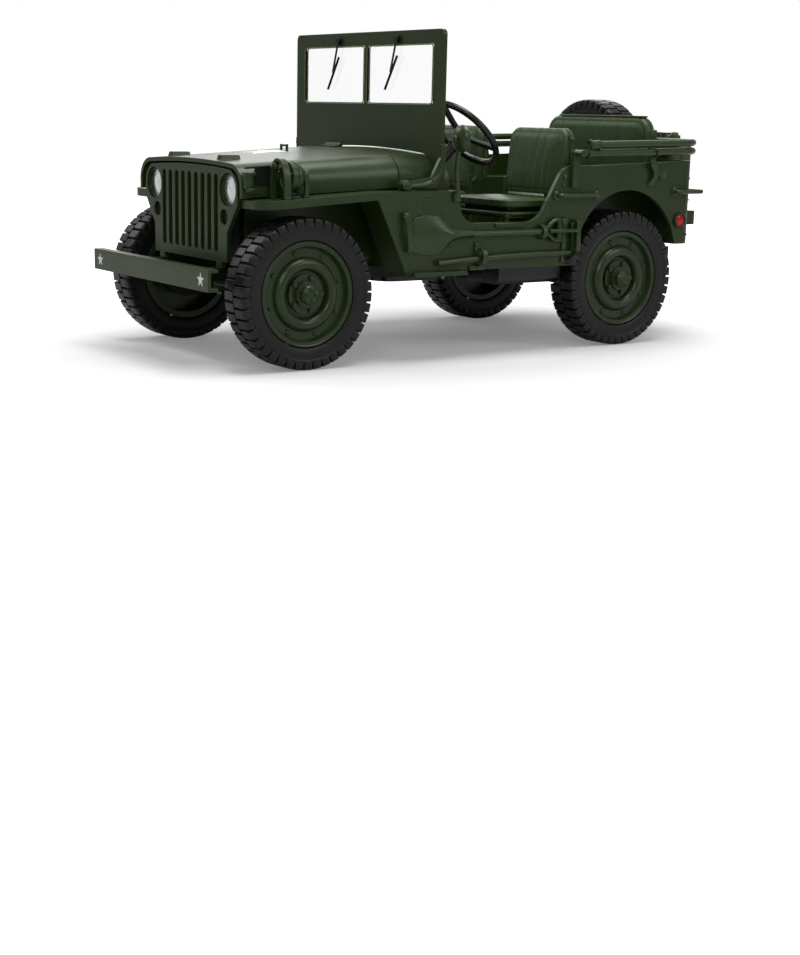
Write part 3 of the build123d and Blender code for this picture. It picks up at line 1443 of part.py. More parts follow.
# Folded top bows round the back of the body, on two side brackets
bow_x = 42.3
bow_y = 84.2
bow_radius = 1.05
bow_corner = 6.0
bow_pivot_y = 36.0
bow_pivot_z = 58.2
bow_rear_z = 59.2
bow_pitch = 2.5
bow_bracket_length = 2.6
bow_bracket_bottom_z = 48.7
bow_pin_end_x = 44.2
with BuildPart() as top_bows:
    for bow in (0, 1):
        front_z = bow_pivot_z + bow * bow_pitch
        front_y = bow_pivot_y + bow * bow_pitch
        rear_z = bow_rear_z + bow * bow_pitch
        with BuildLine() as bow_path:
            FilletPolyline(
                (bow_x, front_y, front_z),
                (bow_x, bow_y, rear_z),
                (-bow_x, bow_y, rear_z),
                (-bow_x, front_y, front_z),
                radius=bow_corner,
            )
        with BuildSketch(Plane(origin=bow_path.line @ 0, z_dir=bow_path.line % 0)):
            Circle(bow_radius)
        sweep(path=bow_path.line)
    for side in (-1, 1):
        with BuildSketch(Plane.YZ.offset(side * bow_x)):
            with Locations((bow_pivot_y + bow_pitch, bow_pivot_z + bow_pitch / 2)):
                Rectangle(bow_bracket_length, bow_pitch)
        extrude(amount=bow_radius / 2, both=True)
save(top_bows.part, "top_bows")

with BuildPart() as bow_brackets:
    for side in (-1, 1):
        with BuildSketch(Plane.YZ.offset(side * body_half_width)):
            with Locations((bow_pivot_y - bow_bracket_length / 2, (bow_bracket_bottom_z + bow_pivot_z) / 2)):
                Rectangle(bow_bracket_length, bow_pivot_z + bow_radius - bow_bracket_bottom_z)
        extrude(amount=side * (bow_x - bow_radius - body_half_width))
        with BuildSketch(Plane.YZ.offset(side * (bow_x - 2 * bow_radius))):
            with Locations((bow_pivot_y - bow_bracket_length / 2, bow_pivot_z)):
                Circle(bow_radius)
        extrude(amount=side * (bow_pin_end_x - bow_x + 2 * bow_radius))
save(bow_brackets.part, "bow_brackets")

# Engine block with its head and round air cleaner, on two mounts over the rails, and the radiator
engine_half_width = 8.5
engine_front_y = -60.0
engine_rear_y = -32.0
engine_bottom_z = 27.0
engine_top_z = 43.0
head_half_width = 4.4
head_top_z = 47.0
cleaner_x = -12.0
cleaner_y = -42.0
cleaner_radius = 3.6
cleaner_bottom_z = 41.0
cleaner_height = 7.0
engine_mount_y = -54.0
engine_mount_length = 3.6
radiator_half_width = 14.5
radiator_depth = 3.2
radiator_bottom_z = 28.6
radiator_top_z = 51.0
radiator_gap = 0.2
with BuildPart() as engine:
    with BuildSketch(Plane.XY.offset(engine_bottom_z)):
        with Locations((0, (engine_front_y + engine_rear_y) / 2)):
            Rectangle(2 * engine_half_width, engine_rear_y - engine_front_y)
    extrude(amount=engine_top_z - engine_bottom_z)
    with BuildSketch(Plane.XY.offset(engine_top_z)):
        with Locations((0, (engine_front_y + engine_rear_y) / 2)):
            Rectangle(2 * head_half_width, engine_rear_y - engine_front_y - 2 * overrun)
    extrude(amount=head_top_z - engine_top_z)
    with BuildSketch(Plane.XY.offset(cleaner_bottom_z)):
        with Locations((cleaner_x, cleaner_y)):
            Circle(cleaner_radius)
    extrude(amount=cleaner_height)
    with BuildSketch(Plane.XY.offset(cleaner_bottom_z)):
        with Locations((cleaner_x / 2, cleaner_y)):
            Rectangle(-cleaner_x, cleaner_radius)
    extrude(amount=engine_top_z + overrun - cleaner_bottom_z)
    with BuildSketch(Plane.XY.offset(rail_front_z)):
        with Locations((0, engine_mount_y)):
            Rectangle(2 * rail_outer_x - 2 * member_trim, engine_mount_length)
    extrude(amount=engine_bottom_z + bumper_wall - rail_front_z)
    with BuildSketch(Plane.XY.offset(radiator_bottom_z)):
        with Locations((0, grille_back_y + radiator_gap + radiator_depth / 2)):
            Rectangle(2 * radiator_half_width, radiator_depth)
    extrude(amount=radiator_top_z - radiator_bottom_z)
save(engine.part, "engine")

# Muffler with its pipes, under the floor on the passenger's side
muffler_x = -25.5
muffler_z = 22.4
muffler_radius = 2.3
muffler_y = (2.0, 28.0)
pipe_radius = 0.8
pipe_front_y = -14.0
pipe_rear_y = 34.0
pipe_exit_x = -38.6
with BuildPart() as exhaust:
    with BuildSketch(Plane.XZ.offset(-muffler_y[1])):
        with Locations((muffler_x, muffler_z)):
            Circle(muffler_radius)
    extrude(amount=muffler_y[1] - muffler_y[0])
    fillet(exhaust.edges().filter_by(GeomType.CIRCLE), muffler_radius / 3)
    with BuildSketch(Plane.XZ.offset(-pipe_rear_y)):
        with Locations((muffler_x, muffler_z)):
            Circle(pipe_radius)
    extrude(amount=pipe_rear_y - pipe_front_y)
    for hanger_y in muffler_y:
        with BuildSketch(Plane.XY.offset(muffler_z)):
            with Locations((muffler_x, (hanger_y + (muffler_y[0] + muffler_y[1]) / 2) / 2)):
                Rectangle(pipe_radius, 2 * pipe_radius)
        extrude(amount=sill_z - muffler_z)
save(exhaust.part, "exhaust")

# Fuel tank box under the driver's side of the floor
tank_inner_x = 20.5
tank_outer_x = 36.0
tank_front_y = 11.0
tank_rear_y = 34.5
tank_bottom_z = 20.0
tank_corner = 2.0
with BuildPart() as fuel_tank:
    with BuildSketch(Plane.XZ.offset(-tank_rear_y)):
        with Locations(((tank_inner_x + tank_outer_x) / 2, (tank_bottom_z + sill_z) / 2)):
            tank_section = Rectangle(tank_outer_x - tank_inner_x, sill_z - tank_bottom_z)
        fillet(tank_section.vertices().group_by(Axis.Y)[0], tank_corner)
    extrude(amount=tank_rear_y - tank_front_y)
save(fuel_tank.part, "fuel_tank")

# Gear and transfer levers on the floor between the seats
lever_radius = 0.45
lever_knob_radius = 0.95
lever_boot_y = 1.0
lever_boot_radius = 1.9
lever_boot_height = 1.6
lever_feet = ((3.2, -1.0, 46.0, -4.0), (-1.4, 1.5, 40.5, 3.0), (-4.6, 2.5, 40.0, 4.5))
with BuildPart() as gear_levers:
    with BuildSketch(Plane.XY.offset(floor_top_z)):
        with Locations((0, lever_boot_y)):
            RectangleRounded(6 * lever_boot_radius, 4 * lever_boot_radius, lever_boot_radius)
    extrude(amount=lever_boot_height)
    for foot_x, foot_y, top_z, top_y in lever_feet:
        lever_rise = top_z - floor_top_z - lever_boot_height / 2
        lever_plane = Plane(
            origin=(foot_x, foot_y, floor_top_z + lever_boot_height / 2),
            x_dir=(1, 0, 0),
            z_dir=(0, top_y - foot_y, lever_rise),
        )
        with BuildSketch(lever_plane):
            Circle(lever_radius)
        extrude(amount=sqrt(lever_rise**2 + (top_y - foot_y) ** 2))
        with Locations((foot_x, top_y, top_z)):
            Sphere(lever_knob_radius)
save(gear_levers.part, "gear_levers")

# Shovel and axe clamped to the driver's side
tool_x = body_half_width
tool_gap = 0.3
shovel_blade = (
    (-24.4, 36.9),
    (-23.6, 31.0),
    (-11.4, 29.8),
    (-9.6, 33.0),
    (-9.6, 38.4),
    (-11.4, 41.0),
    (-23.0, 40.2),
)
shovel_neck = ((-9.7, 33.2), (-5.4, 34.9), (-5.4, 36.3), (-9.7, 38.2))
shovel_blade_thickness = 0.9
shovel_handle_radius = 0.85
shovel_handle_end_y = 24.6
shovel_handle_z = 35.6
shovel_grip_y = 29.0
shovel_grip_half = 2.6
shovel_grip_section = 0.75
clip_length = 2.0
clip_overhang = 0.5
shovel_x = tool_x + tool_gap + shovel_handle_radius
with BuildPart() as shovel:
    with BuildSketch(Plane.YZ.offset(tool_x)):
        with BuildLine():
            Polyline(*shovel_blade, close=True)
        make_face()
        with BuildLine():
            Polyline(*shovel_neck, close=True)
        make_face()
    extrude(amount=shovel_blade_thickness)
    with BuildSketch(Plane.YZ.offset(tool_x + shovel_blade_thickness / 2)):
        with Locations(((shovel_blade[4][0] + shovel_blade[0][0]) / 2, shovel_handle_z)):
            SlotOverall(shovel_blade[4][0] - shovel_blade[0][0] - 2 * clip_length, 2 * clip_length)
    extrude(amount=shovel_blade_thickness)
    with BuildSketch(Plane.XZ.offset(-shovel_handle_end_y)):
        with Locations((shovel_x, shovel_handle_z)):
            Circle(shovel_handle_radius)
    extrude(amount=shovel_handle_end_y - shovel_blade[3][0] + 2 * clip_length)
    with BuildSketch(Plane.YZ.offset(shovel_x)):
        with BuildLine():
            Polyline(
                (shovel_handle_end_y - shovel_grip_section, shovel_handle_z + shovel_grip_section),
                (shovel_grip_y, shovel_handle_z + shovel_grip_half),
                (shovel_grip_y, shovel_handle_z - shovel_grip_half),
                (shovel_handle_end_y - shovel_grip_section, shovel_handle_z - shovel_grip_section),
                close=True,
            )
        make_face()
        offset(amount=shovel_grip_section / 2)
        with BuildLine():
            Polyline(
                (shovel_handle_end_y + shovel_grip_section, shovel_handle_z),
                (shovel_grip_y - shovel_grip_section, shovel_handle_z + shovel_grip_half - 2 * shovel_grip_section),
                (shovel_grip_y - shovel_grip_section, shovel_handle_z - shovel_grip_half + 2 * shovel_grip_section),
                close=True,
            )
        make_face(mode=Mode.SUBTRACT)
    extrude(amount=shovel_grip_section, both=True)
save(shovel.part, "shovel")

axe_handle_radius = 0.8
axe_handle = ((-15.0, 27.6), (9.0, 28.9), (33.6, 29.2))
axe_head = ((33.2, 26.6), (36.6, 27.6), (37.2, 32.5), (36.0, 38.6), (33.4, 38.0), (34.2, 32.0))
axe_head_thickness = 1.6
axe_x = tool_x + tool_gap + axe_handle_radius
with BuildPart() as axe:
    with BuildLine() as axe_path:
        ThreePointArc(*[(axe_x, y, z) for y, z in axe_handle])
    with BuildSketch(Plane(origin=axe_path.line @ 0, z_dir=axe_path.line % 0)):
        Ellipse(axe_handle_radius, axe_handle_radius * 4 / 5)
    sweep(path=axe_path.line)
    with BuildSketch(Plane.YZ.offset(tool_x)):
        with BuildLine():
            Polyline(*axe_head, close=True)
        make_face()
    extrude(amount=axe_head_thickness)
save(axe.part, "axe")

# Grab handles: two on each side and one round each rear corner
grab_radius = 0.65
grab_stand = 2.1
grab_front_y = (28.6, 44.0)
grab_front_z = 46.0
grab_rear_z = 46.7
grab_rear_y = 76.0
grab_rear_x = 35.6
grab_bend = 1.2
grab_root = 0.4
with BuildPart() as grab_handles:
    for side in (-1, 1):
        grab_x = side * (body_half_width + grab_stand)
        root_x = side * (body_half_width - grab_root)
        front_points = (
            (root_x, grab_front_y[0], grab_front_z),
            (grab_x, grab_front_y[0], grab_front_z),
            (grab_x, grab_front_y[1], grab_front_z),
            (root_x, grab_front_y[1], grab_front_z),
        )
        rear_points = (
            (root_x, grab_rear_y, grab_rear_z),
            (grab_x, grab_rear_y, grab_rear_z),
            (grab_x, body_rear_y + grab_stand, grab_rear_z),
            (side * grab_rear_x, body_rear_y + grab_stand, grab_rear_z),
            (side * grab_rear_x, body_rear_y - grab_root, grab_rear_z),
        )
        for points in (front_points, rear_points):
            with BuildLine() as grab_path:
                FilletPolyline(*points, radius=grab_bend)
            with BuildSketch(Plane(origin=grab_path.line @ 0, z_dir=grab_path.line % 0)):
                Circle(grab_radius)
            sweep(path=grab_path.line)
    add(tub.part, mode=Mode.SUBTRACT)
save(grab_handles.part, "grab_handles")

# Round mirror on a bent stem, on the driver's side of the cowl
mirror_x = 46.2
mirror_y = -12.0
mirror_z = 62.5
mirror_radius = 3.8
mirror_depth = 1.1
stem_radius = 0.5
stem_foot_y = -8.6
stem_foot_z = 45.6
with BuildPart() as mirror_piece:
    with BuildSketch(Plane.XZ.offset(-mirror_y)):
        with Locations((mirror_x, mirror_z)):
            Circle(mirror_radius)
    extrude(amount=mirror_depth)
    fillet(mirror_piece.edges().filter_by(GeomType.CIRCLE).group_by(Axis.Y)[0], mirror_depth / 2)
    with BuildLine() as stem_path:
        FilletPolyline(
            (body_half_width, stem_foot_y, stem_foot_z),
            (body_half_width + 2 * mirror_depth, stem_foot_y, stem_foot_z),
            (mirror_x - mirror_depth, mirror_y - mirror_depth, mirror_z - mirror_radius),
            (mirror_x, mirror_y - mirror_depth, mirror_z),
            radius=mirror_depth,
        )
    with BuildSketch(Plane(origin=stem_path.line @ 0, z_dir=stem_path.line % 0)):
        Circle(stem_radius)
    sweep(path=stem_path.line)
save(mirror_piece.part, "mirror")

# Shielded lamp on the driver's side fender, with its guard
fender_lamp_x = 35.2
fender_lamp_y = -59.2
fender_lamp_z = 51.6
fender_lamp_radius = 3.0
fender_lamp_length = 4.6
guard_section = 0.45
guard_radius = 3.9
guard_y = -63.4
fender_rise = (ledge_z - fender_front_z) / (slope_top_y - fender_front_y)
fender_at_lamp_z = fender_front_z + fender_rise * (fender_lamp_y - fender_front_y)
with BuildPart() as fender_lamp:
    with BuildSketch(Plane.XZ.offset(-fender_lamp_y + fender_lamp_length / 2)):
        with Locations((fender_lamp_x, fender_lamp_z)):
            Circle(fender_lamp_radius)
    extrude(amount=-fender_lamp_length)
    fillet(fender_lamp.edges().filter_by(GeomType.CIRCLE).group_by(Axis.Y)[-1], fender_lamp_radius * 3 / 4)
    with BuildSketch(Plane.XZ.offset(-fender_lamp_y + fender_lamp_length / 2)):
        with Locations((fender_lamp_x, fender_lamp_z)):
            Circle(fender_lamp_radius - guard_section)
    extrude(amount=-guard_section, mode=Mode.SUBTRACT)
    with BuildSketch(Plane.XZ.offset(-fender_lamp_y + fender_lamp_length / 2 + guard_section)):
        with Locations((fender_lamp_x, fender_lamp_z)):
            Rectangle(2 * fender_lamp_radius, guard_section)
    extrude(amount=-2 * guard_section)
    with BuildSketch(Plane.XY.offset(fender_at_lamp_z + seat_gap)):
        with Locations((fender_lamp_x, fender_lamp_y)):
            Circle(guard_section * 2)
    extrude(amount=fender_lamp_z - fender_at_lamp_z - fender_lamp_radius / 2)
    guard_foot_z = fender_front_z + fender_rise * (guard_y - fender_front_y) + seat_gap
    with BuildLine() as guard_path:
        Line((fender_lamp_x + guard_radius, guard_y, guard_foot_z), (fender_lamp_x + guard_radius, guard_y, fender_lamp_z))
        ThreePointArc(
            (fender_lamp_x + guard_radius, guard_y, fender_lamp_z),
            (fender_lamp_x, guard_y, fender_lamp_z + guard_radius),
            (fender_lamp_x - guard_radius, guard_y, fender_lamp_z),
        )
        Line((fender_lamp_x - guard_radius, guard_y, fender_lamp_z), (fender_lamp_x - guard_radius, guard_y, guard_foot_z))
    with BuildSketch(Plane(origin=guard_path.line @ 0, z_dir=guard_path.line % 0)):
        Circle(guard_section)
    sweep(path=guard_path.line)
save(fender_lamp.part, "fender_lamp")

# Rear lamps and side reflectors
tail_lamp_x = 34.4
tail_lamp_z = 36.6
tail_lamp_radius = 1.8
tail_lamp_depth = 1.1
reflector_y = 78.9
reflector_z = 37.8
reflector_radius = 1.8
reflector_depth = 0.6
with BuildPart() as tail_lamps:
    with BuildSketch(Plane.XZ.offset(-body_rear_y - tail_lamp_depth)):
        with Locations((-tail_lamp_x, tail_lamp_z), (tail_lamp_x, tail_lamp_z)):
            Circle(tail_lamp_radius)
    extrude(amount=tail_lamp_depth)
    for side in (-1, 1):
        with BuildSketch(Plane.YZ.offset(side * body_half_width)):
            with Locations((reflector_y, reflector_z)):
                Circle(reflector_radius)
        extrude(amount=side * reflector_depth)
save(tail_lamps.part, "tail_lamps")
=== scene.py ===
import math

import bmesh
import bpy
from mathutils import Euler, Matrix, Vector
from mathutils.bvhtree import BVHTree


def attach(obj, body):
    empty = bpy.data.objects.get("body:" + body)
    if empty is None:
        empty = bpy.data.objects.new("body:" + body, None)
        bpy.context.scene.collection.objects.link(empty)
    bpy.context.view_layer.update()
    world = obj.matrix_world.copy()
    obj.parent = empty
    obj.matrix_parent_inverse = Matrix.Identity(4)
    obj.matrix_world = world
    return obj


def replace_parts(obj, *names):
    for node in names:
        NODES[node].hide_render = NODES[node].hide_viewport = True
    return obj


bl_info = {
    "name": "Army 4x4 scale model",
    "version": (1, 0, 0),
    "blender": (4, 5, 0),
    "location": "3D View > Sidebar > Army 4x4",
    "description": "Dresses the scale model of an army 4x4 car and sets its stage",
    "category": "Object",
}

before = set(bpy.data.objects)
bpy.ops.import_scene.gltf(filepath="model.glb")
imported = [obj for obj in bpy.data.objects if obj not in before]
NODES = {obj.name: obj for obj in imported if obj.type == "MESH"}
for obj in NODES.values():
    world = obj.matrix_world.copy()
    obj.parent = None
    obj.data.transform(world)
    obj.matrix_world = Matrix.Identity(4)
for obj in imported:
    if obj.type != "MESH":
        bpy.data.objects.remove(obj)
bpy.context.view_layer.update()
MM = 0.001

# Places of the solids that carry the added pieces, in millimetres
WHEEL_X, AXLE_Y, AXLE_Z = 34.6, 56.45, 20.5
SPARE = Vector((-14.5, 91.0, 54.0))
SIDE_X = 40.0
REAR_Y = 84.5
BUMPER_Y = -84.6
DASH_Y = -9.0
PANE_Y = (-11.92, -13.28)
SUNK = 0.05

FORWARD, BACKWARD, UPWARD = (0, -1, 0), (0, 1, 0), (0, 0, 1)
SIDES = (-1, 1)


# Settings
class ModelPaint(bpy.types.PropertyGroup):
    """Colours of the moulded and painted pieces"""

    body: bpy.props.FloatVectorProperty(
        name="Body paint", description="Olive of the tub, fenders and hood",
        subtype="COLOR", size=3, min=0, max=1, default=(0.0170, 0.0335, 0.0062))
    rims: bpy.props.FloatVectorProperty(
        name="Rim paint", description="Darker olive of the wheel rims",
        subtype="COLOR", size=3, min=0, max=1, default=(0.0145, 0.0280, 0.0068))
    seats: bpy.props.FloatVectorProperty(
        name="Seat plastic", description="Lighter olive of the moulded seats",
        subtype="COLOR", size=3, min=0, max=1, default=(0.0270, 0.0500, 0.0140))
    can: bpy.props.FloatVectorProperty(
        name="Fuel can", description="Yellowish olive of the fuel can",
        subtype="COLOR", size=3, min=0, max=1, default=(0.0380, 0.0600, 0.0200))
    # On the frame rails and marker lamps this near black is painted shade
    bumper: bpy.props.FloatVectorProperty(
        name="Bumper", description="Nearly black olive of the bumpers and chassis",
        subtype="COLOR", size=3, min=0, max=1, default=(0.0065, 0.0085, 0.0045))
    rubber: bpy.props.FloatVectorProperty(
        name="Rubber", description="Dark grey of the tyres",
        subtype="COLOR", size=3, min=0, max=1, default=(0.0060, 0.0060, 0.0056))
    marking: bpy.props.FloatVectorProperty(
        name="Star white", description="White of the stars",
        subtype="COLOR", size=3, min=0, max=1, default=(0.74, 0.74, 0.70))


class ModelSizes(bpy.types.PropertyGroup):
    """Sizes of the small repeated pieces"""

    lugs: bpy.props.IntProperty(
        name="Lugs a side", description="Tread lugs along each shoulder of a tyre",
        default=42, min=12, max=60)
    rim_bolt: bpy.props.FloatProperty(
        name="Rim bolt", description="Radius of the bolts round the rim",
        subtype="DISTANCE", default=0.62 * MM, min=0.1 * MM)
    hub_nut: bpy.props.FloatProperty(
        name="Wheel nut", description="Radius of the five wheel nuts",
        subtype="DISTANCE", default=0.82 * MM, min=0.1 * MM)
    rivet: bpy.props.FloatProperty(
        name="Rivet", description="Radius of the rivets on the body",
        subtype="DISTANCE", default=0.42 * MM, min=0.1 * MM)
    hood_star: bpy.props.FloatProperty(
        name="Hood star", description="Radius of the star on the hood",
        subtype="DISTANCE", default=9.5 * MM, min=1 * MM)
    side_star: bpy.props.FloatProperty(
        name="Side star", description="Radius of the star on the right side",
        subtype="DISTANCE", default=5.8 * MM, min=1 * MM)


class ModelStage(bpy.types.PropertyGroup):
    """Camera, lamps and floor"""

    lens: bpy.props.FloatProperty(
        name="Lens", description="Focal length of the camera in millimetres",
        default=60.105, min=10)
    daylight: bpy.props.FloatProperty(
        name="Daylight", description="Even light from all round",
        default=0.24, min=0)
    key: bpy.props.FloatProperty(
        name="Key lamp", description="Power of the large lamp overhead in watts",
        default=6.2, min=0)
    fill: bpy.props.FloatProperty(
        name="Fill lamp", description="Power of the side lamps in watts",
        default=1.9, min=0)


# Shader node groups
def shader_group(name, inputs, outputs):
    """A shader node group with its sockets, and the nodes at its two ends"""
    tree = bpy.data.node_groups.new(name, "ShaderNodeTree")
    for label, kind, default in inputs:
        sock = tree.interface.new_socket(label, in_out="INPUT", socket_type=kind)
        sock.default_value = default
    for label, kind in outputs:
        tree.interface.new_socket(label, in_out="OUTPUT", socket_type=kind)
    return tree, tree.nodes.new("NodeGroupInput"), tree.nodes.new("NodeGroupOutput")


def add(tree, kind, inputs=None, **settings):
    """One node, with its settings, and its inputs set or linked"""
    node = tree.nodes.new(kind)
    for key, value in settings.items():
        setattr(node, key, value)
    for key, value in (inputs or {}).items():
        if isinstance(value, bpy.types.NodeSocket):
            tree.links.new(value, node.inputs[key])
        else:
            node.inputs[key].default_value = value
    return node


def math_node(tree, operation, a, b=0.0, clamp=False):
    """The result of one Math node"""
    return add(tree, "ShaderNodeMath", {0: a, 1: b}, operation=operation, use_clamp=clamp).outputs[0]


def noise(tree, where, scale, detail=2.0, rough=0.5):
    """Cloudy values between 0 and 1, about 0.5"""
    return add(tree, "ShaderNodeTexNoise", {
        "Vector": where, "Scale": scale, "Detail": detail, "Roughness": rough}).outputs["Fac"]


def mottle_group():
    """Slow cloudy change of tone and gloss, as on moulded or sprayed pieces"""
    tree, start, end = shader_group("mottle", [
        ("Vector", "NodeSocketVector", (0, 0, 0)),
        ("Colour", "NodeSocketColor", (0.5, 0.5, 0.5, 1)),
        ("Patch size", "NodeSocketFloat", 0.015),
        ("Strength", "NodeSocketFloat", 0.12),
        ("Roughness", "NodeSocketFloat", 0.5),
    ], [("Colour", "NodeSocketColor"), ("Roughness", "NodeSocketFloat"), ("Mask", "NodeSocketFloat")])
    scale = math_node(tree, "DIVIDE", 1.0, start.outputs["Patch size"])
    cloud = noise(tree, start.outputs["Vector"], scale, 3.0)
    centred = math_node(tree, "SUBTRACT", cloud, 0.5)
    swing = math_node(tree, "MULTIPLY", centred, start.outputs["Strength"])
    gain = math_node(tree, "MULTIPLY_ADD", swing, 2.0)
    gain.node.inputs[2].default_value = 1.0
    tone = add(tree, "ShaderNodeVectorMath", {0: start.outputs["Colour"]}, operation="SCALE")
    tree.links.new(gain, tone.inputs["Scale"])
    rough = math_node(tree, "ADD", start.outputs["Roughness"], swing, clamp=True)
    tree.links.new(tone.outputs[0], end.inputs["Colour"])
    tree.links.new(rough, end.inputs["Roughness"])
    tree.links.new(cloud, end.inputs["Mask"])
    return tree


def grain_group():
    """Fine surface height: a soft orange peel with a tighter grain over it"""
    tree, start, end = shader_group("grain", [
        ("Vector", "NodeSocketVector", (0, 0, 0)),
        ("Peel size", "NodeSocketFloat", 0.0011),
        ("Grain size", "NodeSocketFloat", 0.0003),
        ("Grain share", "NodeSocketFloat", 0.4),
    ], [("Height", "NodeSocketFloat")])
    peel_scale = math_node(tree, "DIVIDE", 1.0, start.outputs["Peel size"])
    peel = noise(tree, start.outputs["Vector"], peel_scale, 1.0)
    fine_scale = math_node(tree, "DIVIDE", 1.0, start.outputs["Grain size"])
    fine = noise(tree, start.outputs["Vector"], fine_scale, 2.0)
    mix = add(tree, "ShaderNodeMix", {
        "Factor": start.outputs["Grain share"], "A": peel, "B": fine}, data_type="FLOAT")
    tree.links.new(mix.outputs[0], end.inputs["Height"])
    return tree


def edge_highlight_group():
    """Painted highlight along sharp outer edges: a mask that is 1 there, broken up by noise, mixes in a
    lighter colour
    """
    tree, start, end = shader_group("edge_rub", [
        ("Vector", "NodeSocketVector", (0, 0, 0)),
        ("Colour", "NodeSocketColor", (0.5, 0.5, 0.5, 1)),
        ("Highlight colour", "NodeSocketColor", (0.6, 0.6, 0.6, 1)),
        ("Width", "NodeSocketFloat", 0.0004),
        ("Amount", "NodeSocketFloat", 0.4),
    ], [("Colour", "NodeSocketColor"), ("Mask", "NodeSocketFloat")])
    soft = add(tree, "ShaderNodeBevel", {"Radius": start.outputs["Width"]}, samples=4)
    true = add(tree, "ShaderNodeNewGeometry")
    dot = add(tree, "ShaderNodeVectorMath", {
        0: soft.outputs[0], 1: true.outputs["True Normal"]}, operation="DOT_PRODUCT")
    edge = add(tree, "ShaderNodeMapRange", {
        "Value": dot.outputs["Value"], "From Min": 0.97, "From Max": 0.75, "To Min": 0.0, "To Max": 1.0})
    broken = noise(tree, start.outputs["Vector"], 900.0, 3.0, 0.65)
    gate = add(tree, "ShaderNodeMapRange", {"Value": broken, "From Min": 0.42, "From Max": 0.62})
    lit_edge = math_node(tree, "MULTIPLY", edge.outputs[0], gate.outputs[0])
    mask = math_node(tree, "MULTIPLY", lit_edge, start.outputs["Amount"], clamp=True)
    mix = add(tree, "ShaderNodeMix", {"Factor": mask}, data_type="RGBA")
    tree.links.new(start.outputs["Colour"], mix.inputs[6])
    tree.links.new(start.outputs["Highlight colour"], mix.inputs[7])
    tree.links.new(mix.outputs[2], end.inputs["Colour"])
    tree.links.new(mask, end.inputs["Mask"])
    return tree


def crease_group():
    """Height of shallow creases that run along the seat pads, as moulded in"""
    tree, start, end = shader_group("creases", [
        ("Vector", "NodeSocketVector", (0, 0, 0)),
        ("Pitch", "NodeSocketFloat", 0.0035),
        ("Length", "NodeSocketFloat", 0.022),
    ], [("Height", "NodeSocketFloat")])
    parts = add(tree, "ShaderNodeSeparateXYZ", {"Vector": start.outputs["Vector"]})
    across = math_node(tree, "DIVIDE", parts.outputs["X"], start.outputs["Pitch"])
    deep = math_node(tree, "DIVIDE", parts.outputs["Y"], start.outputs["Length"])
    down = math_node(tree, "DIVIDE", parts.outputs["Z"], start.outputs["Length"])
    place = add(tree, "ShaderNodeCombineXYZ", {"X": across, "Y": deep, "Z": down})
    folds = noise(tree, place.outputs[0], 1.0, 2.0, 0.45)
    ridge = math_node(tree, "ABSOLUTE", math_node(tree, "SUBTRACT", folds, 0.5))
    tree.links.new(math_node(tree, "POWER", ridge, 0.7), end.inputs["Height"])
    return tree


def rib_group():
    """Height of fine upright ribs, as on a pressed lamp glass"""
    tree, start, end = shader_group("ribs", [
        ("Vector", "NodeSocketVector", (0, 0, 0)),
        ("Pitch", "NodeSocketFloat", 0.0007),
    ], [("Height", "NodeSocketFloat")])
    parts = add(tree, "ShaderNodeSeparateXYZ", {"Vector": start.outputs["Vector"]})
    angle = math_node(tree, "MULTIPLY", parts.outputs["X"], 2 * math.pi)
    turns = math_node(tree, "DIVIDE", angle, start.outputs["Pitch"])
    wave = math_node(tree, "SINE", turns)
    tree.links.new(math_node(tree, "MULTIPLY_ADD", wave, 0.5), end.inputs["Height"])
    return tree


GROUP_MAKERS = {
    "mottle": mottle_group,
    "grain": grain_group,
    "edge_rub": edge_highlight_group,
    "creases": crease_group,
    "ribs": rib_group,
}
GROUPS = {}


def place_group(tree, name, inputs):
    """A node with the named group, which is built when it is first asked for"""
    if name not in GROUPS:
        GROUPS[name] = GROUP_MAKERS[name]()
    return add(tree, "ShaderNodeGroup", inputs, node_tree=GROUPS[name])


# Materials
MATERIALS = {}


def new_material(name):
    """An empty material with its Principled shader and its Object coordinates"""
    mat = bpy.data.materials.new(name)
    mat.use_nodes = True
    tree = mat.node_tree
    tree.nodes.clear()
    out = tree.nodes.new("ShaderNodeOutputMaterial")
    shader = tree.nodes.new("ShaderNodeBsdfPrincipled")
    tree.links.new(shader.outputs[0], out.inputs["Surface"])
    where = add(tree, "ShaderNodeTexCoord").outputs["Object"]
    MATERIALS[name] = mat
    return mat, tree, shader, where


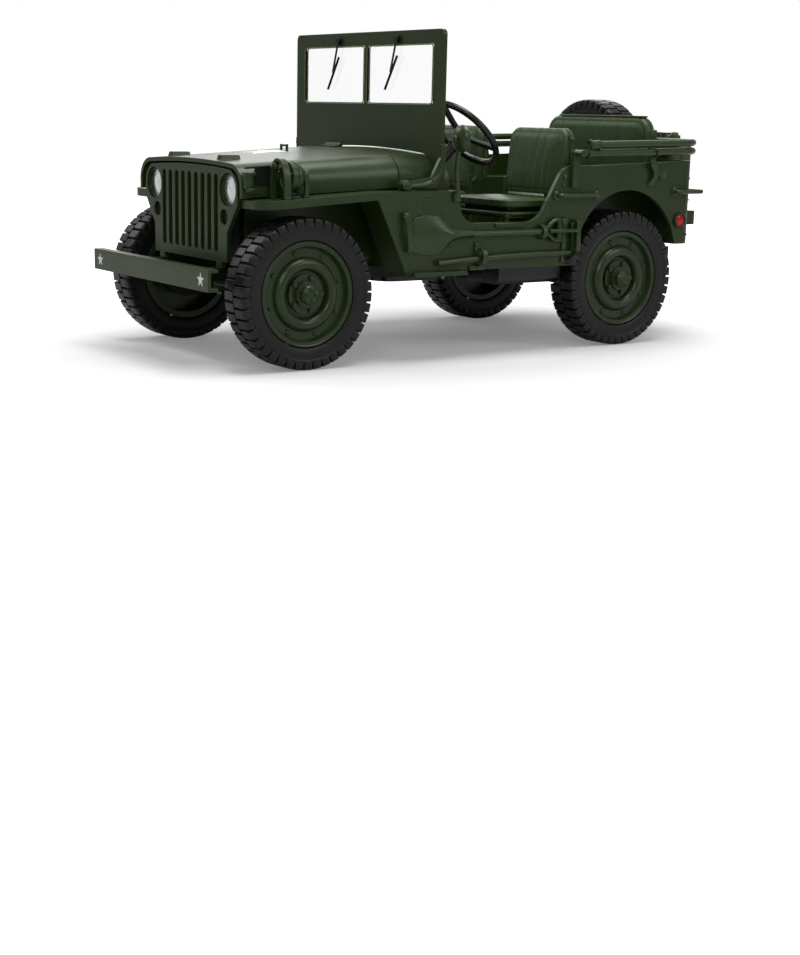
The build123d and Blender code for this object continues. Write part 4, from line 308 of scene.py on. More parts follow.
def moulded(name, colour, roughness=0.5, specular=0.18, patch=0.016, strength=0.14, peel=0.0011,
            bump=0.00004, grain_share=0.35, metallic=0.0, highlight_colour=None, highlight_amount=0.35, rub_width=0.00035,
            soft_edge=0.00028, creases=0.0, ribs=0.0):
    """A satin moulded or sprayed finish with cloudy tone, fine grain and rounded edges, with a painted
    highlight along the sharp edges
    """
    mat, tree, shader, where = new_material(name)
    mottle = place_group(tree, "mottle", {
        "Vector": where, "Colour": (*colour, 1), "Patch size": patch, "Strength": strength,
        "Roughness": roughness})
    base = mottle.outputs["Colour"]
    # A lighter colour along the sharp edges: a painted highlight
    if highlight_amount > 0:
        light = highlight_colour or tuple(min(1, c * 2.2 + 0.012) for c in colour)
        edge = place_group(tree, "edge_rub", {
            "Vector": where, "Colour": base, "Highlight colour": (*light, 1), "Width": rub_width,
            "Amount": highlight_amount})
        base = edge.outputs["Colour"]
    tree.links.new(base, shader.inputs["Base Color"])
    tree.links.new(mottle.outputs["Roughness"], shader.inputs["Roughness"])
    grain = place_group(tree, "grain", {
        "Vector": where, "Peel size": peel, "Grain size": peel * 0.3, "Grain share": grain_share})
    relief = add(tree, "ShaderNodeBump", {"Strength": 1.0, "Distance": bump, "Height": grain.outputs[0]})
    if soft_edge > 0:
        soft = add(tree, "ShaderNodeBevel", {"Radius": soft_edge}, samples=4)
        tree.links.new(soft.outputs[0], relief.inputs["Normal"])
    for kind, depth in (("creases", creases), ("ribs", ribs)):
        if depth > 0:
            shape = place_group(tree, kind, {"Vector": where})
            relief = add(tree, "ShaderNodeBump", {
                "Strength": 1.0, "Distance": depth, "Height": shape.outputs[0],
                "Normal": relief.outputs[0]})
    tree.links.new(relief.outputs[0], shader.inputs["Normal"])
    shader.inputs["Metallic"].default_value = metallic
    shader.inputs["Specular IOR Level"].default_value = specular
    return mat


def clear_plastic(name, tint, roughness=0.02, scratches=0.05):
    """Clear moulded plastic with faint cloudy gloss"""
    mat, tree, shader, where = new_material(name)
    cloud = noise(tree, where, 220.0, 3.0)
    tone = add(tree, "ShaderNodeMix", {"Factor": cloud}, data_type="RGBA")
    tone.inputs[6].default_value = (*tint, 1)
    tone.inputs[7].default_value = (*(min(1, c * 1.02) for c in tint), 1)
    tree.links.new(tone.outputs[2], shader.inputs["Base Color"])
    gloss = math_node(tree, "MULTIPLY_ADD", cloud, scratches)
    gloss.node.inputs[2].default_value = roughness
    tree.links.new(gloss, shader.inputs["Roughness"])
    wave = add(tree, "ShaderNodeBump", {
        "Strength": 1.0, "Distance": 0.000004, "Height": noise(tree, where, 400.0, 1.0)})
    tree.links.new(wave.outputs[0], shader.inputs["Normal"])
    shader.inputs["Transmission Weight"].default_value = 1.0
    shader.inputs["IOR"].default_value = 1.45
    return mat


def make_materials(paint):
    """Every finish of the model, in its paint's colours"""
    body, seats = tuple(paint.body), tuple(paint.seats)
    # Each finish's edge amount sets its painted highlight along the sharp edges
    moulded("olive_paint", body, roughness=0.34, specular=0.34, highlight_amount=0.5)
    moulded("olive_rim", tuple(paint.rims), roughness=0.32, specular=0.36, patch=0.008, highlight_amount=0.25)
    moulded("olive_seat", seats, roughness=0.42, specular=0.3, peel=0.0007, bump=0.00005,
            grain_share=0.6, highlight_amount=0.2, creases=0.0005)
    moulded("seat_frame", seats, roughness=0.38, specular=0.34, highlight_amount=0.25)
    moulded("olive_can", tuple(paint.can), roughness=0.36, specular=0.34, highlight_amount=0.3)
    moulded("olive_tool", tuple(c * 1.05 for c in body), roughness=0.3, specular=0.4, patch=0.006)
    moulded("olive_dark", tuple(c * 0.72 for c in body), roughness=0.34, specular=0.35, patch=0.006)
    moulded("near_black", tuple(paint.bumper), roughness=0.45, highlight_amount=0.3)
    moulded("black_plastic", (0.0050, 0.0052, 0.0048), roughness=0.28, specular=0.4, patch=0.006,
            bump=0.00001, highlight_amount=0.15)
    moulded("rubber", tuple(paint.rubber), roughness=0.4, specular=0.3, patch=0.005, strength=0.25,
            peel=0.0009, bump=0.00005, grain_share=0.5, highlight_amount=0.3, highlight_colour=(0.035, 0.034, 0.032),
            rub_width=0.0002, soft_edge=0.00015)
    moulded("dark_metal", (0.030, 0.030, 0.028), roughness=0.42, specular=0.3, patch=0.004, strength=0.3)
    moulded("silver", (0.62, 0.62, 0.60), roughness=0.25, metallic=0.9, patch=0.003, strength=0.1,
            bump=0.00001, highlight_amount=0.0)
    moulded("lamp_silver", (0.72, 0.72, 0.73), roughness=0.3, metallic=0.6, patch=0.001, strength=0.16,
            bump=0.00002, highlight_amount=0.0, ribs=0.00005)
    moulded("latch_metal", (0.26, 0.27, 0.13), roughness=0.35, specular=0.5, patch=0.002, strength=0.3,
            highlight_amount=0.5, highlight_colour=(0.62, 0.62, 0.48))
    moulded("pane_edge", (0.10, 0.12, 0.022), roughness=0.3, specular=0.4, patch=0.003, strength=0.3,
            highlight_amount=0.0)
    moulded("star_white", tuple(paint.marking), roughness=0.5, specular=0.2, patch=0.004, strength=0.05,
            bump=0.00002, highlight_amount=0.0)
    moulded("pale_plate", (0.42, 0.42, 0.38), roughness=0.35, specular=0.4, patch=0.002, strength=0.2,
            highlight_amount=0.0)
    moulded("dial_black", (0.008, 0.008, 0.008), roughness=0.25, specular=0.5, patch=0.002, strength=0.2,
            highlight_amount=0.0)
    moulded("red_plastic", (0.42, 0.004, 0.003), roughness=0.12, specular=0.35, patch=0.002, strength=0.2,
            highlight_amount=0.0, ribs=0.00004)
    clear_plastic("clear_lens", (0.93, 0.95, 0.94), roughness=0.03)
    clear_plastic("clear_pane", (0.985, 0.992, 0.985), roughness=0.01, scratches=0.02)


NODE_FINISH = {
    "olive_rim": ["rim_front_left", "rim_front_right", "rim_rear_left", "rim_rear_right", "spare_rim"],
    "rubber": ["tyre_front_left", "tyre_front_right", "tyre_rear_left", "tyre_rear_right", "spare_tyre"],
    "olive_seat": ["front_seat_cushions", "rear_seat_cushions"],
    "seat_frame": ["rear_seat_frame", "front_seat_frames"],
    "olive_can": ["jerry_can"],
    "olive_tool": ["shovel", "axe", "mirror", "grab_handles", "top_bows", "bow_brackets"],
    # Frame rails and marker lamps are near black as painted shade: the rails sit in the body's shadow, the
    # lamps in hollows
    "near_black": ["frame_rails", "cross_members", "front_axle", "rear_axle", "knuckle_left",
                   "knuckle_right", "tie_rod", "pintle_hook", "marker_lamps"],
    "black_plastic": ["steering_wheel", "gear_levers", "wipers", "front_leaf_springs", "rear_leaf_springs",
                      "propeller_shafts", "gearbox", "fuel_tank", "exhaust", "steering_column"],
    "dark_metal": ["engine"],
    "dial_black": ["instruments"],
    "pale_plate": ["data_plates"],
    "red_plastic": ["tail_lamps"],
    "clear_lens": ["headlamp_lenses"],
    "clear_pane": ["windshield_glass"],
}


# Shapes drawn into a bmesh, in millimetres
def finish_mesh(bm, name, material, body, smooth=40):
    """Turns a bmesh in millimetres into a piece in metres that rides on a body"""
    bmesh.ops.remove_doubles(bm, verts=bm.verts, dist=0.0005)
    bmesh.ops.recalc_face_normals(bm, faces=bm.faces)
    bmesh.ops.scale(bm, vec=(MM, MM, MM), verts=bm.verts)
    mesh = bpy.data.meshes.new(name)
    bm.to_mesh(mesh)
    bm.free()
    return place_piece(mesh, name, material, body, smooth)


def place_piece(mesh, name, material, body, smooth=40):
    """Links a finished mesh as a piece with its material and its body"""
    obj = bpy.data.objects.new(name, mesh)
    bpy.context.scene.collection.objects.link(obj)
    mesh.materials.clear()
    mesh.materials.append(MATERIALS[material])
    mesh.shade_smooth()
    mesh.set_sharp_from_angle(angle=math.radians(smooth))
    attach(obj, body)
    return obj


def make(name, material, body, draw, smooth=40, instead_of=None):
    """A piece from a function that draws into a bmesh, shown in place of a solid if one is named"""
    bm = bmesh.new()
    draw(bm)
    obj = finish_mesh(bm, name, material, body, smooth)
    if instead_of:
        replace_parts(obj, instead_of)
    return obj


def axes_to(direction):
    """Rotation that takes +Z to the direction"""
    return Vector(direction).to_track_quat("Z", "Y").to_matrix().to_4x4()


def circle(radius, count, centre=(0, 0)):
    """Points of a circle as (along, across) pairs"""
    angles = [2 * math.pi * i / count for i in range(count)]
    return [(centre[0] + radius * math.cos(t), centre[1] + radius * math.sin(t)) for t in angles]


def bridge(bm, low, high):
    """Faces between two rings of equal count"""
    count = len(low)
    for k in range(count):
        bm.faces.new((low[k], low[(k + 1) % count], high[(k + 1) % count], high[k]))


def add_loft(bm, loops):
    """A closed skin through loops of equal count"""
    rings = [[bm.verts.new(p) for p in loop] for loop in loops]
    for low, high in zip(rings, rings[1:]):
        bridge(bm, low, high)
    bm.faces.new(rings[0][::-1])
    bm.faces.new(rings[-1])


def add_lathe(bm, profile, segments=32, at=(0, 0, 0), direction=UPWARD, closed=False):
    """Turns (radius, height) points round the direction through a place"""
    turn = Matrix.Translation(at) @ axes_to(direction)
    rings = []
    for radius, height in profile:
        ends = circle(radius, segments) if radius > 0 else [(0, 0)]
        rings.append([bm.verts.new(turn @ Vector((*p, height))) for p in ends])
    pairs = list(zip(rings, rings[1:]))
    if closed:
        pairs.append((rings[-1], rings[0]))
    for low, high in pairs:
        if len(low) > 1 and len(high) > 1:
            bridge(bm, low, high)
            continue
        for i in range(segments):
            j = (i + 1) % segments
            bm.faces.new((low[0], high[i], high[j]) if len(low) == 1 else (low[i], high[0], low[j]))


def add_head(bm, at, direction, wall, face, heights, segments=16):
    """A turned head: its wall stands between the first two heights, then it draws in to a smaller face"""
    base, rim, edge, middle = heights
    profile = [(0, base), (wall, base), (wall, rim), (face, edge), (0, middle)]
    add_lathe(bm, profile, segments, at, direction)


def add_box(bm, low, high, bevel=0.0):
    """A box between two corners with rounded edges"""
    low, high = Vector(low), Vector(high)
    made = bmesh.ops.create_cube(bm, size=1.0)["verts"]
    middle, size = (low + high) / 2, high - low
    for v in made:
        v.co = v.co * size + middle
    if bevel > 0:
        edges = list({e for v in made for e in v.link_edges})
        bmesh.ops.bevel(bm, geom=edges, offset=bevel, segments=2, affect="EDGES", profile=0.5)


def add_block(bm, centre, half, bevel=0.0):
    """A box by its middle and its half sizes"""
    centre, half = Vector(centre), Vector(half)
    add_box(bm, centre - half, centre + half, bevel)


def add_boxes(bm, boxes):
    """Boxes that are given by low corner, high corner and edge radius"""
    for low, high, edge in boxes:
        add_box(bm, low, high, edge)


def add_side_box(bm, side, low, high, bevel=0.0):
    """A box that is given by its corners on the driver's side, on either side"""
    ends = sorted((low[0] * side, high[0] * side))
    add_box(bm, (ends[0], *low[1:]), (ends[1], *high[1:]), bevel)


def mirrored(points, side):
    """Points given for the driver's side, on either side"""
    return [(x * side, y, z) for x, y, z in points]


def smooth_points(points, steps=6):
    """Catmull-Rom points through the given ones"""
    pts = [Vector(p) for p in points]
    pts = [pts[0] * 2 - pts[1], *pts, pts[-1] * 2 - pts[-2]]
    out = []
    for a, b, c, d in zip(pts, pts[1:], pts[2:], pts[3:]):
        for s in range(steps):
            t = s / steps
            out.append(0.5 * ((2 * b) + (c - a) * t + (2 * a - 5 * b + 4 * c - d) * t * t
                              + (3 * b - a - 3 * c + d) * t ** 3))
    out.append(pts[-2])
    return out


def sweep(bm, points, section, facing=None, closed=False):
    """Carries (across, up) points along a path; up leans toward the facing, or stays as it was"""
    pts = [Vector(p) for p in points]
    count = len(pts)
    rings = []
    up = None
    for i, p in enumerate(pts):
        before = pts[i - 1] if i or closed else pts[0]
        after = pts[(i + 1) % count] if i + 1 < count or closed else pts[-1]
        along = (after - before).normalized()
        first = UPWARD if abs(along.z) < 0.9 else (1, 0, 0)
        lean = Vector(facing or up or first)
        up = (lean - along * lean.dot(along)).normalized()
        across = along.cross(up)
        rings.append([bm.verts.new(p + across * a + up * b) for a, b in section])
    for low, high in zip(rings, rings[1:]):
        bridge(bm, low, high)
    if closed:
        bridge(bm, rings[-1], rings[0])
    else:
        bm.faces.new(rings[0][::-1])
        bm.faces.new(rings[-1])


def add_bar(bm, points, radius, sides=10, closed=False):
    """A round bar along points"""
    sweep(bm, points, [(across, up) for up, across in circle(radius, sides)], closed=closed)


def add_strap(bm, points, width, thick, facing):
    """A flat strap along points, with its broad side toward the facing"""
    w, t = width / 2, thick / 2
    sweep(bm, points, [(w, t), (-w, t), (-w, -t), (w, -t)], facing)


def rounded_rect(half_w, half_h, radius, steps=5):
    """Corner points of a rounded rectangle about the origin"""
    radius = max(0.01, min(radius, half_w, half_h))
    out = []
    for a, b, start in ((1, 1, 0), (-1, 1, 90), (-1, -1, 180), (1, -1, 270)):
        for k in range(steps + 1):
            t = math.radians(start + 90 * k / steps)
            out.append((a * (half_w - radius) + radius * math.cos(t),
                        b * (half_h - radius) + radius * math.sin(t)))
    return out


def rounded_path(points, radius, steps=5):
    """A path whose corners are turned with a radius"""
    pts = [Vector(p) for p in points]
    out = [pts[0]]
    for before, corner, after in zip(pts, pts[1:], pts[2:]):
        a, b = (before - corner).normalized(), (after - corner).normalized()
        half = a.angle(b) / 2
        centre = corner + (a + b).normalized() * (radius / math.sin(half))
        first = corner + a * (radius / math.tan(half)) - centre
        last = corner + b * (radius / math.tan(half)) - centre
        turn, axis = first.angle(last), first.cross(last).normalized()
        out += [centre + Matrix.Rotation(turn * k / steps, 3, axis) @ first for k in range(steps + 1)]
    out.append(pts[-1])
    return out


def rounded_hoop(corners, start, radius, steps):
    """A closed path with turned corners, from a place between the last corner and the first"""
    return rounded_path([start, *corners, start], radius, steps)[:-1]


# Small pieces for the node trees to copy
def as_source(bm, name):
    """The bmesh in millimetres as an unlinked object in metres"""
    bmesh.ops.recalc_face_normals(bm, faces=bm.faces)
    bmesh.ops.scale(bm, vec=(MM, MM, MM), verts=bm.verts)
    mesh = bpy.data.meshes.new(name)
    bm.to_mesh(mesh)
    bm.free()
    return bpy.data.objects.new(name, mesh)


def hex_head(radius, height, washer=0.0):
    """A bolt head on its washer, along +Z"""
    bm = bmesh.new()
    if washer > 0:
        add_lathe(bm, [(0, -0.1), (washer, -0.1), (washer, 0.16), (washer * 0.93, 0.22), (0, 0.22)], 18)
    add_head(bm, (0, 0, 0), UPWARD, radius, radius * 0.86, (-0.1, height * 0.75, height, height), 6)
    return as_source(bm, "hex_head")


def dome_head(radius, height):
    """A round rivet head along +Z"""
    bm = bmesh.new()
    steps = [(radius * math.cos(a), height * math.sin(a)) for a in (0.0, 0.4, 0.8, 1.2)]
    add_lathe(bm, [(0, -0.1), (radius, -0.1), *steps, (0, height)], 12)
    return as_source(bm, "dome_head")


# Geometry node trees
def geometry_tree(name, inputs):
    """A geometry node tree with its sockets, and the nodes at its two ends"""
    tree = bpy.data.node_groups.new(name, "GeometryNodeTree")
    tree.interface.new_socket("Geometry", in_out="INPUT", socket_type="NodeSocketGeometry")
    for label, kind, default in inputs:
        sock = tree.interface.new_socket(label, in_out="INPUT", socket_type=kind)
        if default is not None:
            sock.default_value = default
    tree.interface.new_socket("Geometry", in_out="OUTPUT", socket_type="NodeSocketGeometry")
    return tree, tree.nodes.new("NodeGroupInput"), tree.nodes.new("NodeGroupOutput")


def ring_tree():
    """Copies of a piece in a ring about a direction, joined to what the object already has"""
    tree, start, end = geometry_tree("ring_of_pieces", [
        ("Piece", "NodeSocketObject", None),
        ("Count", "NodeSocketInt", 8),
        ("Radius", "NodeSocketFloat", 0.01),
        ("Phase", "NodeSocketFloat", 0.0),
        ("Centre", "NodeSocketVector", (0, 0, 0)),
        ("Turn", "NodeSocketVector", (0, 0, 0)),
        ("Material", "NodeSocketMaterial", None),
        ("Seed", "NodeSocketInt", 7),
        ("Loose turn", "NodeSocketFloat", 0.0),
    ])
    ring = add(tree, "GeometryNodeMeshCircle", {
        "Vertices": start.outputs["Count"], "Radius": start.outputs["Radius"]})
    index = add(tree, "GeometryNodeInputIndex").outputs[0]
    step = math_node(tree, "DIVIDE", 2 * math.pi, start.outputs["Count"])
    angle = math_node(tree, "MULTIPLY", index, step)
    loose = add(tree, "FunctionNodeRandomValue", {"Seed": start.outputs["Seed"]}, data_type="FLOAT")
    tree.links.new(start.outputs["Loose turn"], loose.inputs[3])
    turned = math_node(tree, "ADD", angle, loose.outputs[1])
    spin = add(tree, "ShaderNodeCombineXYZ", {"Z": turned})
    source = add(tree, "GeometryNodeObjectInfo", {
        "Object": start.outputs["Piece"]}, transform_space="ORIGINAL")
    copies = add(tree, "GeometryNodeInstanceOnPoints", {
        "Points": ring.outputs[0], "Instance": source.outputs["Geometry"], "Rotation": spin.outputs[0]})
    phase = add(tree, "ShaderNodeCombineXYZ", {"Z": start.outputs["Phase"]})
    swung = add(tree, "GeometryNodeTransform", {
        "Geometry": copies.outputs[0], "Rotation": phase.outputs[0]})
    placed = add(tree, "GeometryNodeTransform", {
        "Geometry": swung.outputs[0], "Translation": start.outputs["Centre"],
        "Rotation": start.outputs["Turn"]})
    real = add(tree, "GeometryNodeRealizeInstances", {"Geometry": placed.outputs[0]})
    both = add(tree, "GeometryNodeJoinGeometry")
    tree.links.new(real.outputs[0], both.inputs[0])
    tree.links.new(start.outputs["Geometry"], both.inputs[0])
    last = add(tree, "GeometryNodeSetMaterial", {
        "Geometry": both.outputs[0], "Material": start.outputs["Material"]})
    tree.links.new(last.outputs[0], end.inputs[0])
    return tree


def points_tree():
    """A copy of a piece at each point of the object, facing along the point's facing attribute"""
    tree, start, end = geometry_tree("pieces_on_points", [
        ("Piece", "NodeSocketObject", None),
        ("Size", "NodeSocketFloat", 1.0),
        ("Size spread", "NodeSocketFloat", 0.0),
        ("Seed", "NodeSocketInt", 11),
        ("Material", "NodeSocketMaterial", None),
    ])
    facing = add(tree, "GeometryNodeInputNamedAttribute", {"Name": "facing"}, data_type="FLOAT_VECTOR")
    aim = add(tree, "FunctionNodeAlignRotationToVector", {"Vector": facing.outputs[0]}, axis="Z")
    low = math_node(tree, "SUBTRACT", start.outputs["Size"], start.outputs["Size spread"])
    high = math_node(tree, "ADD", start.outputs["Size"], start.outputs["Size spread"])
    size = add(tree, "FunctionNodeRandomValue", {"Seed": start.outputs["Seed"]}, data_type="FLOAT")
    tree.links.new(low, size.inputs[2])
    tree.links.new(high, size.inputs[3])
    source = add(tree, "GeometryNodeObjectInfo", {
        "Object": start.outputs["Piece"]}, transform_space="ORIGINAL")
    copies = add(tree, "GeometryNodeInstanceOnPoints", {
        "Points": start.outputs["Geometry"], "Instance": source.outputs["Geometry"],
        "Rotation": aim.outputs[0], "Scale": size.outputs[1]})
    real = add(tree, "GeometryNodeRealizeInstances", {"Geometry": copies.outputs[0]})
    last = add(tree, "GeometryNodeSetMaterial", {
        "Geometry": real.outputs[0], "Material": start.outputs["Material"]})
    tree.links.new(last.outputs[0], end.inputs[0])
    return tree


TREE_MAKERS = {"ring": ring_tree, "points": points_tree}
TREES = {}


def grow(obj, kind, **values):
    """A modifier with the named tree, its inputs set by their identifiers"""
    if kind not in TREES:
        TREES[kind] = TREE_MAKERS[kind]()
    tree = TREES[kind]
    mod = obj.modifiers.new(tree.name, "NODES")
    mod.node_group = tree
    for item in tree.interface.items_tree:
        key = item.name.lower().replace(" ", "_")
        if item.item_type == "SOCKET" and item.in_out == "INPUT" and key in values:
            mod[item.identifier] = values[key]


def host_for(name, mesh=None):
    """A linked object that carries a node tree until it is settled"""
    host = bpy.data.objects.new(name + "_host", mesh or bpy.data.meshes.new(name + "_host"))
    bpy.context.scene.collection.objects.link(host)
    return host


def settle(obj, name, material, body, smooth=40):
    """Plain mesh of the evaluated object, as a piece that rides on the body"""
    graph = bpy.context.evaluated_depsgraph_get()
    mesh = bpy.data.meshes.new_from_object(obj.evaluated_get(graph), depsgraph=graph)
    mesh.name = name
    bpy.data.objects.remove(obj, do_unlink=True)
    return place_piece(mesh, name, material, body, smooth)


def on_points(name, placements, piece, material, body, size=1.0):
    """Small pieces at (place, facing) pairs in millimetres"""
    mesh = bpy.data.meshes.new(name + "_points")
    mesh.from_pydata([tuple(c * MM for c in p) for p, _ in placements], [], [])
    facing = mesh.attributes.new("facing", "FLOAT_VECTOR", "POINT")
    for i, (_, direction) in enumerate(placements):
        facing.data[i].vector = Vector(direction).normalized()
    host = host_for(name, mesh)
    grow(host, "points", piece=piece, size=size, size_spread=0.03, seed=11, material=MATERIALS[material])
    return settle(host, name, material, body)


def skin_of(node):
    """The surface of a solid in millimetres, for rays"""
    mesh = NODES[node].data
    return BVHTree.FromPolygons([v.co / MM for v in mesh.vertices], [p.vertices[:] for p in mesh.polygons])


def wheel_places():
    """Each wheel's key, tyre node, body, middle and outward direction, the spare last"""
    for end, y in (("front", -AXLE_Y), ("rear", AXLE_Y)):
        for name, side in (("left", 1), ("right", -1)):
            key = f"{end}_{name}"
            middle, out = Vector((WHEEL_X * side, y, AXLE_Z)), Vector((side, 0, 0))
            yield key, f"tyre_{key}", f"wheel_{key}", middle, out
    yield "spare", "spare_tyre", "body", SPARE, Vector(BACKWARD)


def turn_to(out):
    """Euler turn that takes +Z to a wheel's outward direction"""
    return (math.radians(-90 * out.y), math.radians(90 * out.x), 0)


# Operators
class FinishSolids(bpy.types.Operator):
    """Gives every solid of the frame its finish"""

    bl_idname = "army_model.finish_solids"
    bl_label = "Finish the solids"

    def execute(self, context):
        make_materials(context.scene.model_paint)
        finish = {node: name for name, dressed in NODE_FINISH.items() for node in dressed}
        for node, obj in NODES.items():
            mat = MATERIALS[finish.get(node, "olive_paint")]
            if not obj.data.materials:
                obj.data.materials.append(mat)
            for item in obj.material_slots:
                item.material = mat
        return {"FINISHED"}


class BuildTyres(bpy.types.Operator):
    """Rubber tyres with staggered tread lugs"""

    bl_idname = "army_model.tyres"
    bl_label = "Tyres"

    TREAD_RADIUS = 20.5
    # Half of the casing's section: radius, and distance from the tyre's middle plane
    CASING = [(14.35, -4.0), (14.6, -4.5), (15.6, -4.85), (16.8, -4.95), (17.6, -4.9), (17.75, -5.05),
              (18.0, -5.08), (18.1, -4.9), (18.8, -4.7), (19.35, -4.3), (19.6, -3.4), (19.65, 0.0)]
    # Sections of a lug: distance from the middle plane, radius of its foot and its top, its half width
    LUG = [(0.2, 18.6, 20.5, 1.26), (3.6, 18.6, 20.5, 1.28), (4.95, 18.0, 20.28, 1.28),
           (5.12, 18.3, 19.7, 1.2)]
    LUG_TOP_SHARE = 0.95
    LUG_EDGE = 0.12

    def execute(self, context):
        lugs = context.scene.model_sizes.lugs
        right = self.lug()
        left = right.copy()
        left.data = right.data.copy()
        left.data.transform(Matrix.Scale(-1, 4, UPWARD))
        left.data.flip_normals()
        for _, node, body, middle, out in wheel_places():
            host = host_for(node, self.casing(middle, out))
            for piece, phase in ((right, 0.0), (left, math.pi / lugs)):
                grow(host, "ring", piece=piece, count=lugs, radius=self.TREAD_RADIUS * MM, phase=phase,
                     centre=middle * MM, turn=turn_to(out), material=MATERIALS["rubber"])
            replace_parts(settle(host, node + "_tread", "rubber", body), node)
        return {"FINISHED"}

    def lug(self):
        """One lug at +X, from the middle of the tread to its shoulder, with its top at the origin"""
        bm = bmesh.new()
        loops = []
        for along, foot, top, half in self.LUG:
            tip = half * self.LUG_TOP_SHARE
            loops.append([(foot, -half, along), (top, -tip, along), (top, tip, along), (foot, half, along)])
        add_loft(bm, loops)
        bmesh.ops.recalc_face_normals(bm, faces=bm.faces)
        edges = [e for e in bm.edges if e.calc_face_angle(0) > 0.5]
        bmesh.ops.bevel(bm, geom=edges, offset=self.LUG_EDGE, segments=1, affect="EDGES")
        bmesh.ops.translate(bm, vec=(-self.TREAD_RADIUS, 0, 0), verts=bm.verts)
        return as_source(bm, "lug")

    def casing(self, middle, out):
        """The tyre without its lugs, at its place, as a mesh in metres"""
        bm = bmesh.new()
        section = self.CASING + [(radius, -depth) for radius, depth in reversed(self.CASING[:-1])]
        add_lathe(bm, section, 96, closed=True)
        bmesh.ops.recalc_face_normals(bm, faces=bm.faces)
        turn = Euler(turn_to(out)).to_matrix().to_4x4()
        place = Matrix.Scale(MM, 4) @ Matrix.Translation(middle) @ turn
        bmesh.ops.transform(bm, matrix=place, verts=bm.verts)
        mesh = bpy.data.meshes.new("casing")
        bm.to_mesh(mesh)
        bm.free()
        return mesh


class BuildWheelBolts(bpy.types.Operator):
    """Bolts and pressed rings of each rim, five nuts on each hub and the lobes of the front hubs"""

    bl_idname = "army_model.wheel_bolts"
    bl_label = "Wheel bolts and nuts"

    # Number, radius of the ring they stand on, and distance from the wheel's middle plane
    BOLTS = (8, 11.3, 2.7)
    NUTS = (5, 4.55, 3.4)
    LOBES = (5, 1.75, 6.05)
    # Sections of the rings: radius, and distance from the wheel's middle plane
    BULGE = [(6.35, 2.4), (6.6, 3.6), (7.1, 4.35), (7.9, 4.7), (8.7, 4.6), (9.4, 4.1), (9.9, 3.3),
             (10.2, 2.4)]
    BEAD = [(13.5, 4.1), (13.6, 4.45), (13.95, 4.6), (14.25, 4.4), (14.3, 3.9)]

    def execute(self, context):
        sizes = context.scene.model_sizes
        bolt = hex_head(sizes.rim_bolt / MM, 0.5, washer=sizes.rim_bolt / MM * 1.25)
        nut = hex_head(sizes.hub_nut / MM, 0.75)
        for key, _, body, middle, out in wheel_places():
            rows = [(bolt, *self.BOLTS)] + ([(nut, *self.NUTS)] if key != "spare" else [])
            host = host_for(f"rim_bolts_{key}")
            for piece, count, radius, depth in rows:
                grow(host, "ring", piece=piece, count=count, radius=radius * MM, phase=0.3, seed=3,
                     centre=(middle + out * depth) * MM, turn=turn_to(out), loose_turn=1.0,
                     material=MATERIALS["olive_rim"])
            settle(host, f"rim_bolts_{key}", "olive_rim", body, smooth=30)
            self.rings(key, body, middle, out)
            if key.startswith("front"):
                self.lobes(key, body, middle, out)
        return {"FINISHED"}

    def rings(self, key, body, middle, out):
        """The bulge and the bead pressed into a rim"""
        def draw(bm):
            for section in (self.BULGE, self.BEAD):
                add_lathe(bm, section, 72, middle, out, closed=True)
        make(f"rim_rings_{key}", "olive_rim", body, draw, smooth=50)

    def lobes(self, key, body, middle, out):
        """Round lobes on the cap of a front hub"""
        count, radius, depth = self.LOBES
        places = []
        for i in range(count):
            turn = math.radians(360 / count * i + 10)
            spoke = Vector((0, math.cos(turn), math.sin(turn)))
            places.append((middle + out * depth + spoke * radius, out))
        on_points(f"hub_lobes_{key}", places, dome_head(0.85, 0.6), "olive_rim", body)


def star_outline(radius):
    """Ten corners of a five-pointed star with one point up"""
    inner = radius * 0.382
    return [((inner if i % 2 else radius) * math.sin(math.pi * i / 5),
             (inner if i % 2 else radius) * math.cos(math.pi * i / 5)) for i in range(10)]


